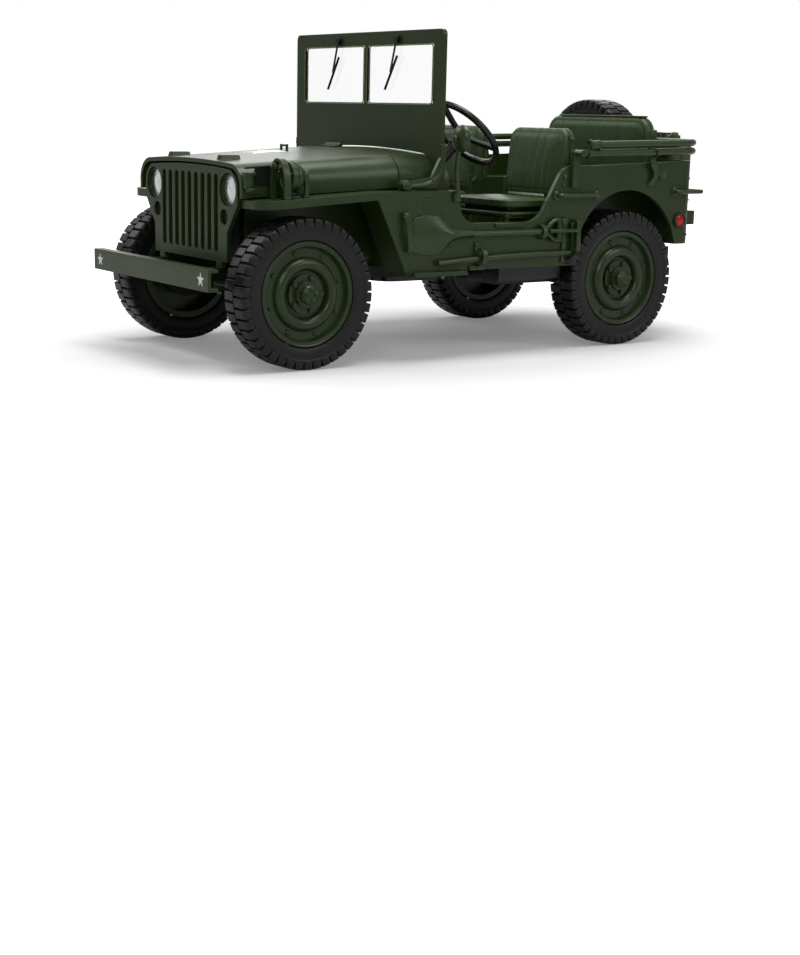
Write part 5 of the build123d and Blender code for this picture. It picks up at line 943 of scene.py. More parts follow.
class PaintStars(bpy.types.Operator):
    """White five-pointed stars on the hood, the right side and the bumper ends"""

    bl_idname = "army_model.stars"
    bl_label = "Stars"

    LIFT = 0.05
    REACH = 6
    # The small loop that stands on the hood: half its width, and where it starts and ends along Y
    HOOD_LOOP = (2.4, -43.0, -38.8)

    def execute(self, context):
        sizes = context.scene.model_sizes
        self.star("star_hood", "hood", sizes.hood_star / MM, (0, -47, 57.5), (1, 0, 0), (0, 1, 0), "hood")
        self.star("star_side", "tub", sizes.side_star / MM, (-SIDE_X, 20.3, 32.3), FORWARD, UPWARD, "body")
        for side, name in ((-1, "right"), (1, "left")):
            self.star(f"star_bumper_{name}", "front_bumper", 2.1, (31 * side, BUMPER_Y, 24.85), (1, 0, 0),
                      UPWARD, "body")
        return {"FINISHED"}

    def star(self, name, node, radius, origin, across, up, body):
        """A thin star pressed onto a solid's skin, cut finely enough to follow its curve"""
        across, up = Vector(across), Vector(up)
        out = across.cross(up)
        bm = bmesh.new()
        bm.faces.new([bm.verts.new((x, y, 0)) for x, y in star_outline(radius)])
        bmesh.ops.triangulate(bm, faces=bm.faces)
        for _ in range(4 if radius > 4 else 2):
            long = [e for e in bm.edges if e.calc_length() > 0.9]
            if not long:
                break
            bmesh.ops.subdivide_edges(bm, edges=long, cuts=1)
            bmesh.ops.triangulate(bm, faces=bm.faces)
        skin = skin_of(node)
        for v in bm.verts:
            start = Vector(origin) + across * v.co.x + up * v.co.y + out * self.REACH
            v.co = self.touch(skin, node, start, across, out) + out * self.LIFT
        copy = bmesh.ops.extrude_face_region(bm, geom=bm.faces[:])
        for v in (g for g in copy["geom"] if isinstance(g, bmesh.types.BMVert)):
            v.co -= out * (self.LIFT + SUNK)
        finish_mesh(bm, name, "star_white", body, smooth=30)

    def touch(self, skin, node, start, across, out):
        """Where a ray meets the skin, or the skin's level beside the hood's loop"""
        hit = skin.ray_cast(start, -out, 14)[0]
        if hit is None:
            raise RuntimeError(f"a star misses {node}")
        half, first, last = self.HOOD_LOOP
        if node == "hood" and abs(hit.x) < half and first < hit.y < last:
            beside = [skin.ray_cast(start + across * shift, -out, 14)[0] for shift in (-half * 2, half * 2)]
            hit = sum(beside, Vector()) / 2
        return hit


class BuildLamps(bpy.types.Operator):
    """Headlamp dishes and glasses, the radiator's fins, and the lamp with its guard on the left fender"""

    bl_idname = "army_model.lamps"
    bl_label = "Lamps"

    HEADLAMP = (21.8, 47.5)
    DISH_Y, GLASS_Y = -69.02, -69.05
    DISH = [(0, 0.0), (3.97, 0.0), (3.97, 0.95), (3.6, 0.85), (2.9, 0.5), (1.8, 0.3), (0, 0.25)]
    GLASS = [(0, 1.75), (1.2, 1.69), (2.3, 1.5), (3.2, 1.22), (3.75, 0.98), (3.95, 0.8), (3.95, 0.5),
             (3.3, 0.82), (2.3, 1.16), (1.2, 1.36), (0, 1.42)]
    CORE = ((-16.6, -69.4, 29.4), (16.6, -68.5, 52.6), 0.15)
    FIN_COUNT, FIN_PITCH, FIN_Y = 31, 1.05, -69.625
    FIN_HALF, TANK_HALF = (0.16, 0.325, 11.1), (0.5, 0.725, 4.0)
    FENDER_LAMP = (35.4, -59.2, 51.5)
    FENDER_LAMP_FEET = (((34.1, -60.7, 46.1), (36.3, -57.8, 49.4), 0.3),
                        ((33.0, -61.3, 45.7), (37.4, -57.2, 46.5), 0.25))
    STAY_X, STAY_Y, STAY_Z = (32.3, 38.5), (-63.2, -59.8), 52.4
    FRONT_BUTTON = [(0, -0.9), (0.95, -0.9), (0.95, 0.3), (0.7, 0.6), (0, 0.7)]
    FRONT_BUTTON_AT = (33.9, -63.9, 54.2)
    FENDER_LAMP_CAN = [(0, -2.7), (1.5, -2.6), (2.7, -2.1), (3.5, -1.3), (3.85, -0.5), (4.1, -0.4),
                       (4.1, 0.3), (3.85, 0.4), (3.85, 1.3), (4.1, 1.4), (4.1, 2.1), (3.8, 2.25),
                       (3.4, 2.1), (3.2, 1.8), (1.6, 1.7), (0, 1.65)]
    FENDER_LAMP_TIP = [(0, 1.5), (1.5, 1.5), (1.5, 2.2), (1.2, 2.5), (0, 2.6)]
    # Guard hoops round the fender lamp: place along Y, height of the crown, reach to each side, width
    HOOPS = ((-63.2, 55.9, 3.5, 1.9), (-56.7, 52.6, 2.6, 1.2))
    GUARD_X = (35.5, 35.2)
    # The fender's top: its height at one place along Y, and its rise with each millimetre
    FENDER_Y, FENDER_Z, FENDER_RISE = -70.5, 45.25, 0.0627

    def execute(self, context):
        make("headlamp_dishes", "lamp_silver", "body", self.dishes)
        make("headlamp_glasses", "clear_lens", "body", self.glasses,
             instead_of="headlamp_lenses")
        make("radiator_fins", "near_black", "body", self.radiator)
        make("guarded_lamp", "olive_paint", "body", self.guarded, instead_of="fender_lamp")
        return {"FINISHED"}

    def dishes(self, bm):
        x, z = self.HEADLAMP
        for side in SIDES:
            add_lathe(bm, self.DISH, 40, (x * side, self.DISH_Y, z), FORWARD)

    def glasses(self, bm):
        x, z = self.HEADLAMP
        for side in SIDES:
            add_lathe(bm, self.GLASS, 40, (x * side, self.GLASS_Y, z), FORWARD)

    def radiator(self, bm):
        """The core with its fins, and the tank's edge on each side"""
        add_boxes(bm, [self.CORE])
        for i in range(self.FIN_COUNT):
            x = self.FIN_PITCH * (i - (self.FIN_COUNT - 1) / 2)
            add_block(bm, (x, self.FIN_Y, 41.0), self.FIN_HALF)
        for side in SIDES:
            add_block(bm, (15.9 * side, self.FIN_Y, 37.0), self.TANK_HALF, 0.1)

    def guarded(self, bm):
        add_lathe(bm, self.FENDER_LAMP_CAN, 40, self.FENDER_LAMP, FORWARD)
        add_lathe(bm, self.FENDER_LAMP_TIP, 24, self.FENDER_LAMP, FORWARD)
        add_boxes(bm, self.FENDER_LAMP_FEET)
        for hoop in self.HOOPS:
            self.guard(bm, *hoop)
        for x in self.STAY_X:
            add_bar(bm, [(x, y, self.STAY_Z) for y in self.STAY_Y], 0.32, 8)
        add_lathe(bm, self.FRONT_BUTTON, 16, self.FRONT_BUTTON_AT, FORWARD)

    def guard(self, bm, y, top, reach, width):
        """One hoop of the guard, with a foot and a screw on the fender at each end"""
        fender = self.FENDER_Z + self.FENDER_RISE * (y - self.FENDER_Y)
        outer, inner = self.GUARD_X
        right = [(outer + reach, fender + 0.15), (outer + reach * 1.03, 49.6),
                 (outer + reach * 0.86, 53.0), (outer - 0.1 + reach * 0.45, top - 0.6)]
        left = [(inner - reach * 0.42, top - 0.6), (inner - reach * 0.8, 53.0),
                (inner - reach * 0.95, 49.6), (inner - reach * 0.92, fender + 0.15)]
        arch = [(x, y, z) for x, z in (*right, (inner, top), *left)]
        add_strap(bm, smooth_points(arch), 0.85, width, BACKWARD)
        for x in (outer + reach - 0.4, inner - reach * 0.92 - 0.2):
            add_block(bm, (x, y, fender + 0.2), (0.9, 0.95, 0.3), 0.12)
            add_head(bm, (x, y - 0.3, fender), UPWARD, 0.5, 0.3, (0.4, 0.75, 0.9, 0.9), 12)


class BuildSeats(bpy.types.Operator):
    """Moulded seat pads with their stepped backs, the front seats' rails and the side straps"""

    bl_idname = "army_model.seats"
    bl_label = "Seats"

    FRONT_X = 21
    # Layers of a pad: height or share of its depth, and how far its outline is drawn in
    FRONT_CUSHION = [(39.9, 3.2), (42.2, 2.6), (42.25, 0.5), (42.6, 0.05), (44.2, 0.1), (44.6, 0.7),
                     (44.82, 1.6), (44.88, 3.2), (44.95, 6.5)]
    FRONT_BACK = [(-0.05, 6.5), (-0.01, 3.2), (0.02, 2.2), (0.12, 1.45), (0.15, 1.4), (0.16, 0.75),
                  (0.24, 0.3), (0.33, 0.02), (0.56, 0.0), (0.58, 0.42), (0.64, 0.42), (0.66, 0.02),
                  (0.90, 0.0), (1.0, 0.45), (1.0, 1.7), (0.86, 2.1), (0.86, 6.5)]
    REAR_CUSHION = [(39.4, 1.6), (39.7, 0.7), (40.4, 0.1), (41.7, 0.0), (41.85, 0.45), (42.1, 0.45),
                    (42.25, 0.0), (43.2, 0.12), (43.65, 0.7), (43.9, 1.6), (43.98, 3.2), (44.05, 6.5)]
    REAR_BACK = [(-0.04, 8.0), (-0.01, 3.4), (0.03, 2.4), (0.14, 1.6), (0.17, 1.55), (0.18, 0.8),
                 (0.26, 0.3), (0.36, 0.02), (0.58, 0.0), (0.60, 0.42), (0.66, 0.42), (0.68, 0.02),
                 (0.9, 0.0), (1.0, 0.45), (1.0, 1.9), (0.86, 2.3), (0.86, 8.0)]
    # The front backs: where the face stands, how it leans, and the rear face over and beside the wheelhouse
    FACE_Y, FACE_Z, FACE_LEAN = 33.55, 48.45, 0.115
    WHEELHOUSE_Z = 48.6
    BACK_Y, BACK_LOW_Y = 39.75, 34.78
    REAR_FACE_Y, REAR_DEPTH = 77.2, 4.55
    STRAP = [(34.55, 37.6, 63.2), (34.75, 38.0, 59.5), (34.5, 38.6, 55.0), (33.6, 39.4, 51.4),
             (33.0, 39.0, 48.6)]
    STRAP_BUTTON = (34.7, 38.0, 62.0)
    # The bent bar under a front cushion: half its length, its back and front ends, its height
    RAIL_HALF, RAIL_Y, RAIL_Z = 12.6, (33.4, 14.6), 40.35
    # The rear back's top edge and its hinge block
    REAR_EDGES = (((-18.1, 78.4, 68.85), (21.0, 81.4, 69.45), 0.2),
                  ((22.2, 79.4, 60.9), (25.0, 82.2, 65.2), 0.4))
    HINGE_PINS = ((23.6, 82.225, 63.8), (23.6, 82.225, 62.2))

    def execute(self, context):
        make("front_seat_pads", "olive_seat", "body", self.front_pads, 35,
             instead_of="front_seat_cushions")
        make("rear_seat_pads", "olive_seat", "body", self.rear_pads, 35,
             instead_of="rear_seat_cushions")
        make("seat_straps", "seat_frame", "body", self.fittings)
        return {"FINISHED"}

    def pad(self, bm, centre, half, radius, layers, place):
        """A moulded pad: rounded outlines, each at a depth and drawn in by an inset"""
        loops = []
        for depth, inset in layers:
            outline = rounded_rect(half[0] - inset, half[1] - inset, radius - inset * 0.8, 6)
            loops.append([place(centre[0] + a, centre[1] + b, depth) for a, b in outline])
        add_loft(bm, loops)

    def lying(self, a, b, depth):
        """Where a point of a cushion's outline goes, at a height"""
        return (a, b, depth)

    def leaning(self, a, b, share):
        """Depth between the leaning face and the rear, thin where the wheelhouse stands behind"""
        face = self.FACE_Y + self.FACE_LEAN * (b - self.FACE_Z)
        rear = self.BACK_Y if b > self.WHEELHOUSE_Z else self.BACK_LOW_Y
        return (a, face + share * (rear - face), b)

    def upright(self, a, b, share):
        """Where a point of the rear back's outline goes, at a share of its depth"""
        return (a, self.REAR_FACE_Y + self.REAR_DEPTH * share, b)

    def front_pads(self, bm):
        for x in (-self.FRONT_X, self.FRONT_X):
            self.pad(bm, (x, 23.5), (13.5, 9.5), 3.6, self.FRONT_CUSHION, self.lying)
            self.pad(bm, (x, 55.45), (13.5, 9.75), 4.0, self.FRONT_BACK, self.leaning)

    def rear_pads(self, bm):
        self.pad(bm, (0, 66), (24.5, 8.0), 4.0, self.REAR_CUSHION, self.lying)
        self.pad(bm, (0, 58), (24.5, 11.0), 5.4, self.REAR_BACK, self.upright)

    def fittings(self, bm):
        for side in SIDES:
            self.strap(bm, side)
            self.rail(bm, self.FRONT_X * side)
        add_boxes(bm, self.REAR_EDGES)
        for place in self.HINGE_PINS:
            add_block(bm, place, (1.0, 0.225, 0.35), 0.1)

    def strap(self, bm, side):
        """The strap on the outer side of a front back, with its button"""
        (button,) = mirrored([self.STRAP_BUTTON], side)
        add_strap(bm, smooth_points(mirrored(self.STRAP, side), 5), 1.3, 0.45, (side, 0, 0))
        add_head(bm, button, (side, 0, 0), 0.8, 0.5, (-0.3, 0.4, 0.65, 0.7))

    def rail(self, bm, x):
        """The bent bar under a front cushion"""
        left, right, (back, front), z = x - self.RAIL_HALF, x + self.RAIL_HALF, self.RAIL_Y, self.RAIL_Z
        corners = [(left, back, z), (left, front, z), (right, front, z), (right, back, z)]
        add_bar(bm, rounded_path(corners, 3.0, 6), 0.72)


class BuildWindshieldTrim(bpy.types.Operator):
    """Pane edges, latches, cross ridges and the curved pivot straps of the windshield"""

    bl_idname = "army_model.windshield_trim"
    bl_label = "Windshield trim"

    PANE_X, PANE_Z = (0.75, 33.8), (71.3, 87.5)
    LATCH_Y = -11.6
    LATCHES = ((21.7, 89.6), (-1.4, 89.6), (-24.1, 89.6), (23.8, 69.5), (-0.3, 69.5), (-24.4, 69.5))
    LATCH_CORNERS = ((2.1, -0.6), (2.1, 0.6), (-2.1, 0.6), (-2.1, -0.6))
    LATCH_FEET = (-1.5, 0, 1.5)
    RIDGES = (((-36.4, -12.2, 66.2), (36.4, -11.5, 67.0), 0.2),
              ((-36.4, -12.2, 60.6), (36.4, -11.45, 61.4), 0.3),
              ((-36.6, -12.2, 52.4), (36.6, -11.7, 53.2), 0.2),
              ((-36.4, -12.2, 89.3), (36.4, -11.6, 89.9), 0.2))
    UPRIGHT_X, UPRIGHT_HALF = 36.2, (0.5, 0.3, 18.5)
    ARM_X = 38.35
    ARM = [(-24.6, 49.0), (-21.6, 49.05), (-18.4, 49.3), (-15.7, 50.2), (-13.8, 51.5), (-12.6, 53.2),
           (-12.4, 56.2), (-12.5, 60.4)]
    ARM_KNOB = [(0, -0.6), (1.55, -0.6), (1.55, 0.55), (1.2, 0.85), (0.7, 0.85), (0.6, 1.05), (0, 1.1)]
    # Screws of the frame: places along X, then Y and Z
    REAR_SCREWS = ((-33, -22, -11, 0, 11, 22, 33), -12.0, 51.6)
    LOW_SCREWS = ((-35.4, -28, -20, -12, -4, 4, 12, 20, 28, 35.4), -13.2, 51.7)
    TOP_SCREWS = ((-36.6, 36.6), -13.2, 90.6)

    def execute(self, context):
        make("pane_edges", "pane_edge", "windshield", self.edges)
        make("windshield_latches", "latch_metal", "windshield", self.latches)
        make("windshield_ridges", "olive_paint", "windshield", self.ridges)
        make("windshield_arms", "olive_tool", "windshield", self.arms)
        screws = []
        for (places, y, z), facing in ((self.REAR_SCREWS, BACKWARD), (self.LOW_SCREWS, FORWARD),
                                       (self.TOP_SCREWS, FORWARD)):
            screws += [((x, y, z), facing) for x in places]
        on_points("windshield_screws", screws, dome_head(0.55, 0.35), "olive_dark", "windshield", size=0.72)
        return {"FINISHED"}

    def edges(self, bm):
        inner, outer = self.PANE_X
        low, high = self.PANE_Z
        for left, right in ((inner, outer), (-outer, -inner)):
            for y in PANE_Y:
                corners = [(right, y, low), (right, y, high), (left, y, high), (left, y, low)]
                add_bar(bm, rounded_hoop(corners, (left + 5, y, low), 1.0, 4), 0.17, 6, closed=True)

    def latches(self, bm):
        for x, z in self.LATCHES:
            corners = [(x + a, self.LATCH_Y, z + b) for a, b in self.LATCH_CORNERS]
            hoop = rounded_hoop(corners, (x - 1.0, self.LATCH_Y, z - 0.6), 0.45, 4)
            add_bar(bm, hoop, 0.26, 8, closed=True)
            for foot in self.LATCH_FEET:
                add_block(bm, (x + foot, self.LATCH_Y - 0.15, z), (0.3, 0.35, 0.45), 0.12)

    def ridges(self, bm):
        add_boxes(bm, self.RIDGES)
        for side in SIDES:
            add_block(bm, (self.UPRIGHT_X * side, -11.9, 70.9), self.UPRIGHT_HALF, 0.2)

    def arms(self, bm):
        for side in SIDES:
            x, out = self.ARM_X * side, (side, 0, 0)
            add_bar(bm, smooth_points([(x, y, z) for y, z in self.ARM]), 0.92, 12)
            add_lathe(bm, self.ARM_KNOB, 24, (x, -24.4, 49.05), out)
            add_head(bm, (x, -15.6, 50.3), out, 0.85, 0.5, (0.3, 0.75, 1.0, 1.0))
            add_head(bm, (x, -12.5, 58.9), out, 0.75, 0.4, (0.3, 0.7, 0.95, 0.95))


class BuildLeftTools(bpy.types.Operator):
    """Shovel, tool clamps and mirror on the driver's side, and fittings of the top bows on both sides"""

    bl_idname = "army_model.left_fittings"
    bl_label = "Driver's side fittings"

    SKIN_X = SIDE_X - SUNK
    PLATE_X = 39.9
    # Straps that hold the tools, by their middle lines
    BLADE_STRAP = [(41.55, -26.2, 41.0), (41.75, -25.7, 37.5), (41.75, -25.2, 34.5), (41.5, -24.7, 31.9)]
    AXE_STRAP = [(39.95, 0.4, 25.6), (41.0, 0.2, 26.4), (42.3, 0.5, 27.4), (42.75, 0.6, 29.0),
                 (42.3, 0.5, 30.7), (41.1, 0.4, 31.4), (39.95, 0.4, 31.2)]
    HANDLE_STRAP = [(39.95, 22.8, 33.6), (41.6, 22.8, 33.9), (42.5, 22.8, 35.6), (41.6, 22.8, 37.2),
                    (39.95, 22.8, 37.5)]
    BUCKLE_STRAP = [(42.4, 35.5, 29.6), (42.7, 34.5, 28.2), (41.9, 33.4, 27.0), (40.4, 32.6, 26.4)]
    BLADE_CLAMPS = ((-26.25, 41.2), (-24.6, 31.7))
    # Boxes of the clamps: low corner, high corner, edge radius
    AXE_PLATES = (((39.9, -1.6, 30.6), (40.7, 1.7, 33.0), 0.2),
                  ((39.9, -3.4, 25.2), (40.7, 1.9, 26.5), 0.2))
    GRIP_PLATES = (((41.7, 24.4, 35.35), (43.0, 35.5, 36.35), 0.3),
                   ((42.1, 34.7, 29.8), (42.8, 36.3, 38.6), 0.2),
                   ((39.9, 30.8, 26.2), (40.55, 33.2, 39.4), 0.15))
    GRIP_BLOCKS = ((30.1, 38.5), (35.6, 38.1), (35.5, 30.1))
    GRIP_BAR = [(41.2, 28.9, 32.6), (41.2, 28.95, 39.2)]
    GRIP = [(41.2, 22.1, 35.6), (41.2, 23.6, 35.7), (41.2, 25.4, 37.6), (41.2, 27.4, 38.9),
            (41.2, 29.0, 39.05)]
    GRIP_MIRROR_Z, LOW_GRIP_RISE = 71.6, 0.4
    # The shovel's blade and socket: place along Y, half width, rise over the side
    BLADE_Z = 35.5
    BLADE = [(-24.9, 1.2, 0.5), (-24.2, 3.4, 0.75), (-22.6, 4.9, 0.9), (-20.0, 5.55, 1.05),
             (-17.0, 5.6, 1.35), (-14.5, 5.2, 1.75), (-12.6, 4.1, 2.05), (-11.2, 2.9, 2.2),
             (-9.8, 2.0, 2.25), (-7.8, 1.45, 2.2), (-4.5, 1.15, 2.15), (-2.0, 1.0, 2.05)]
    # Section of the blade: shares of its half width, and of its rise over the edge
    BLADE_SHARES = [(0.98, 0.0), (0.8, 0.30), (0.52, 0.62), (0.24, 0.92)]
    HANDLE = [(41.1, -3.2, 35.5), (41.15, 10, 35.55), (41.15, 22.6, 35.6)]
    MIRROR = (46.0, -12.0, 62.1)
    MIRROR_DISH = [(0, -1.45), (1.4, -1.32), (2.6, -0.95), (3.35, -0.4), (3.72, 0.2), (3.8, 0.45),
                   (3.6, 0.62), (3.3, 0.5), (0, 0.5)]
    MIRROR_STEM = [(40.1, -8.6, 45.6), (40.9, -8.7, 46.6), (41.3, -9.2, 49.6), (42.4, -10.4, 53.4),
                   (44.2, -11.5, 56.6), (45.6, -12.2, 59.6), (46.0, -12.9, 62.0)]
    # Buttons behind the door opening: places along Y and Z, and radius
    BUTTONS = ((31.4, 51.3, 0.8), (31.0, 48.9, 0.55))
    # Both sides: the round bosses at Y and Z, and the loose ends of the bow straps
    BOSSES = ((28.4, 46.0), (44.0, 46.0), (76.4, 46.7))
    FLAP = [(41.4, 64.8, 58.6), (41.5, 65.3, 55.4), (41.2, 67.0, 53.2), (41.5, 69.2, 52.2),
            (41.2, 70.8, 51.6)]
    FLAP_END = [(41.4, 66.2, 53.6), (41.2, 66.8, 51.4), (40.8, 65.8, 49.6), (40.0, 65.0, 48.6)]
    BOW_LOOP = [(41.9, 62.4, 59.3), (42.9, 63.6, 59.5), (43.3, 64.6, 59.0), (42.6, 65.6, 58.2),
                (41.6, 65.0, 57.6)]
    SLEEVE = [(1.06, -0.1), (1.5, -0.1), (1.5, 0.4), (1.3, 0.55), (1.3, 3.2), (1.5, 3.3), (1.5, 3.8),
              (1.06, 3.8)]
    COLLAR = [(1.06, 0), (1.45, 0), (1.45, 0.7), (1.06, 0.7)]

    def execute(self, context):
        make("tool_clamps", "olive_tool", "body", self.clamps)
        make("tool_buckle", "black_plastic", "body", self.buckle)
        make("door_sill_strip_left", "olive_paint", "body", lambda bm: self.sill(bm, 1))
        make("door_sill_strip_right", "olive_paint", "body", lambda bm: self.sill(bm, -1))
        make("mirror_head", "olive_tool", "body", self.mirror, instead_of="mirror")
        make("shovel_head", "olive_tool", "body", self.shovel, instead_of="shovel")
        return {"FINISHED"}

    def clamps(self, bm):
        self.front_clamps(bm)
        self.grip(bm)
        for y, z, size in self.BUTTONS:
            add_head(bm, (SIDE_X, y, z), (1, 0, 0), size, size * 0.6, (-0.2, 0.3, 0.55, 0.6), 14)
        add_box(bm, (self.PLATE_X, 33.4, 48.55), (40.4, 35.6, 49.15), 0.12)
        for side in SIDES:
            self.bow_fittings(bm, side)

    def front_clamps(self, bm):
        """Straps and plates round the shovel's blade and the axe's head, and the strap round the handle"""
        add_strap(bm, smooth_points(self.BLADE_STRAP, 4), 1.7, 0.5, (1, 0, 0))
        for y, z in self.BLADE_CLAMPS:
            add_box(bm, (self.PLATE_X, y - 1.1, z - 0.7), (41.65, y + 1.1, z + 0.7), 0.2)
            add_head(bm, (40.9, y, z), (1, 0, 0), 0.5, 0.3, (0.5, 0.9, 1.1, 1.1), 12)
        add_strap(bm, smooth_points(self.AXE_STRAP, 5), 0.45, 1.7, BACKWARD)
        add_boxes(bm, self.AXE_PLATES)
        add_strap(bm, smooth_points(self.HANDLE_STRAP, 5), 0.45, 1.5, BACKWARD)

    def grip(self, bm):
        """The shovel's forked grip with the blocks that hold it"""
        for y, z in self.GRIP_BLOCKS:
            add_block(bm, (41.25, y, z), (1.35, 0.9, 0.8), 0.3)
        add_boxes(bm, self.GRIP_PLATES)
        lower = [(x, y, self.GRIP_MIRROR_Z - z + (self.LOW_GRIP_RISE if i > 1 else 0))
                 for i, (x, y, z) in enumerate(self.GRIP)]
        for line in (self.GRIP, lower):
            add_bar(bm, smooth_points(line, 5), 0.62)
        add_bar(bm, self.GRIP_BAR, 0.85, 12)

    def bow_fittings(self, bm, side):
        """Bosses, strap ends, sleeve and collar of the top bows on one side"""
        out = (side, 0, 0)
        for y, z in self.BOSSES:
            add_head(bm, (SIDE_X * side, y, z), out, 1.35, 1.0, (-0.1, 0.35, 0.55, 0.55), 20)
        add_strap(bm, smooth_points(mirrored(self.FLAP, side), 5), 2.2, 0.45, out)
        add_strap(bm, smooth_points(mirrored(self.FLAP_END, side), 5), 1.6, 0.45, out)
        add_strap(bm, smooth_points(mirrored(self.BOW_LOOP, side), 5), 1.7, 0.4, BACKWARD)
        add_lathe(bm, self.SLEEVE, 20, (42.3 * side, 38.4, 60.7), BACKWARD, closed=True)
        add_lathe(bm, self.COLLAR, 20, (42.3 * side, 37.4, 58.2), BACKWARD, closed=True)

    def shovel(self, bm):
        """Dished blade with its socket, and the handle up to the grip"""
        loops = []
        for y, half, rise in self.BLADE:
            edge = min(0.55, rise * 0.5)
            over = [(1.0, 0.0)] + [(wide, edge + (rise - edge) * up) for wide, up in self.BLADE_SHARES]
            ring = [(self.SKIN_X + h, y, self.BLADE_Z + half * k) for k, h in over]
            ring += [(self.SKIN_X + rise, y, self.BLADE_Z)]
            ring += [(self.SKIN_X + h, y, self.BLADE_Z - half * k) for k, h in reversed(over)]
            loops.append(ring)
        add_loft(bm, loops)
        add_bar(bm, smooth_points(self.HANDLE), 0.85, 14)

    def buckle(self, bm):
        add_strap(bm, smooth_points(self.BUCKLE_STRAP, 5), 1.6, 0.4, (1, 0, 0))
        add_box(bm, (self.SKIN_X, 32.6, 26.0), (40.9, 36.5, 29.6), 0.25)
        add_box(bm, (40.7, 33.6, 26.8), (41.4, 35.5, 28.8), 0.2)

    def sill(self, bm, side):
        """The strip under the door opening on one side"""
        add_side_box(bm, side, (self.SKIN_X, 5.7, 37.1), (40.5, 16.9, 38.4), 0.2)

    def mirror(self, bm):
        x, y, z = self.MIRROR
        add_lathe(bm, self.MIRROR_DISH, 40, self.MIRROR, BACKWARD)
        add_bar(bm, smooth_points(self.MIRROR_STEM), 0.68, 12)
        add_box(bm, (self.PLATE_X, -9.7, 44.6), (41.0, -7.5, 46.9), 0.25)
        add_head(bm, (x, y - 1.7, z), FORWARD, 0.9, 0.6, (0, 0.5, 0.8, 0.8))


class BuildRightFittings(bpy.types.Operator):
    """The cylinder and the silver exhaust pipe along the passenger side"""

    bl_idname = "army_model.right_fittings"
    bl_label = "Passenger side fittings"

    CYLINDER = (Vector((-41.2, -18.6, 30.2)), Vector((-41.2, -28.9, 51.9)))
    # Radius and distance from the cylinder's foot; its neck follows the cylinder's length
    BARREL = [(0, 0), (1.4, 0), (1.75, 0.35), (1.75, 4.4), (2.0, 4.5), (2.0, 5.4), (1.75, 5.5),
              (1.75, 17.0), (2.1, 17.1), (2.1, 18.1), (1.55, 18.2), (1.55, 19.9), (2.0, 20.0),
              (2.0, 21.2), (1.3, 21.6)]
    CLAMP_SHARES = (0.28, 0.74)
    PIPE_X = -41.0
    PIPE = [(33.6, 25.3), (28.0, 24.8), (22.0, 24.4), (10.0, 24.1), (0.0, 23.9), (-2.6, 23.5),
            (-3.9, 22.0), (-3.9, 19.4)]

    def execute(self, context):
        make("side_cylinder", "olive_tool", "body", self.cylinder)
        make("exhaust_pipe", "silver", "body", self.pipe)
        return {"FINISHED"}

    def cylinder(self, bm):
        low, high = self.CYLINDER
        along = high - low
        length = along.length
        neck = [(0.9, length - 0.7), (0.7, length), (0, length)]
        add_lathe(bm, self.BARREL + neck, 24, low, along)
        for share in self.CLAMP_SHARES:
            p = low + along * share
            add_block(bm, (-41.075, p.y, p.z), (1.125, 1.1, 0.9), 0.2)

    def pipe(self, bm):
        add_bar(bm, smooth_points([(self.PIPE_X, y, z) for y, z in self.PIPE], 5), 0.62, 12)


class BuildHoodFittings(bpy.types.Operator):
    """Wire catches on both sides of the hood in a darker olive that paints the shade of their engraved
    lines, and painted shadow at its front corner with the bracket
    """

    bl_idname = "army_model.hood_fittings"
    bl_label = "Hood fittings"

    # The hood's side: its distance from the middle at its front end, and its gain with each millimetre
    FRONT_X, FRONT_Y, FLARE = 31.0, -71.8, 0.0776
    WIRE_DEPTH = 0.55
    # Wires of a catch, each from Y and Z to Y and Z
    WIRES = (((-56.4, 53.2), (-61.1, 53.2)), ((-55.5, 52.2), (-56.4, 53.2)),
             ((-60.6, 52.4), (-60.8, 48.6)))
    SHADOW_PLATE = ((30.35, -68.0, 48.9), (30.75, -63.4, 49.1), (30.8, -63.4, 53.9), (30.45, -68.0, 53.5))
    SHADOW_PLATE_FACES = (-0.3, 0.22)
    BRACKET = (((30.0, -71.5, 48.2), (31.9, -69.0, 51.9), 0.3),
               ((30.0, -71.7, 51.6), (32.3, -68.6, 52.6), 0.3),
               ((30.2, -71.2, 47.4), (33.0, -69.3, 48.4), 0.2))

    def execute(self, context):
        # The catches' darker olive is painted shade of engraved lines; the corner plate and bar are painted
        # shadow
        make("hood_catches", "olive_dark", "hood", self.catches)
        make("hood_corner_recess", "near_black", "hood", self.corner_shadow)
        make("hood_corner_bracket", "olive_paint", "hood", self.bracket)
        return {"FINISHED"}

    def catches(self, bm):
        for side in SIDES:
            for wire in self.WIRES:
                ends = []
                for y, z in wire:
                    skin = self.FRONT_X + (y - self.FRONT_Y) * self.FLARE
                    ends.append((side * (skin - self.WIRE_DEPTH), y, z))
                add_bar(bm, ends, 0.35, 8)

    def corner_shadow(self, bm):
        """Painted shadow at the hood's front corner: a near-black plate where the gap lies in shade, and a
        near-black bar for the shadow line under the hood's edge
        """
        add_bar(bm, [(30.35, -71.0, 53.6), (31.0, -63.6, 54.15)], 0.3, 8)
        add_loft(bm, [[(x + face, y, z) for x, y, z in self.SHADOW_PLATE] for face in self.SHADOW_PLATE_FACES])

    def bracket(self, bm):
        add_boxes(bm, self.BRACKET)


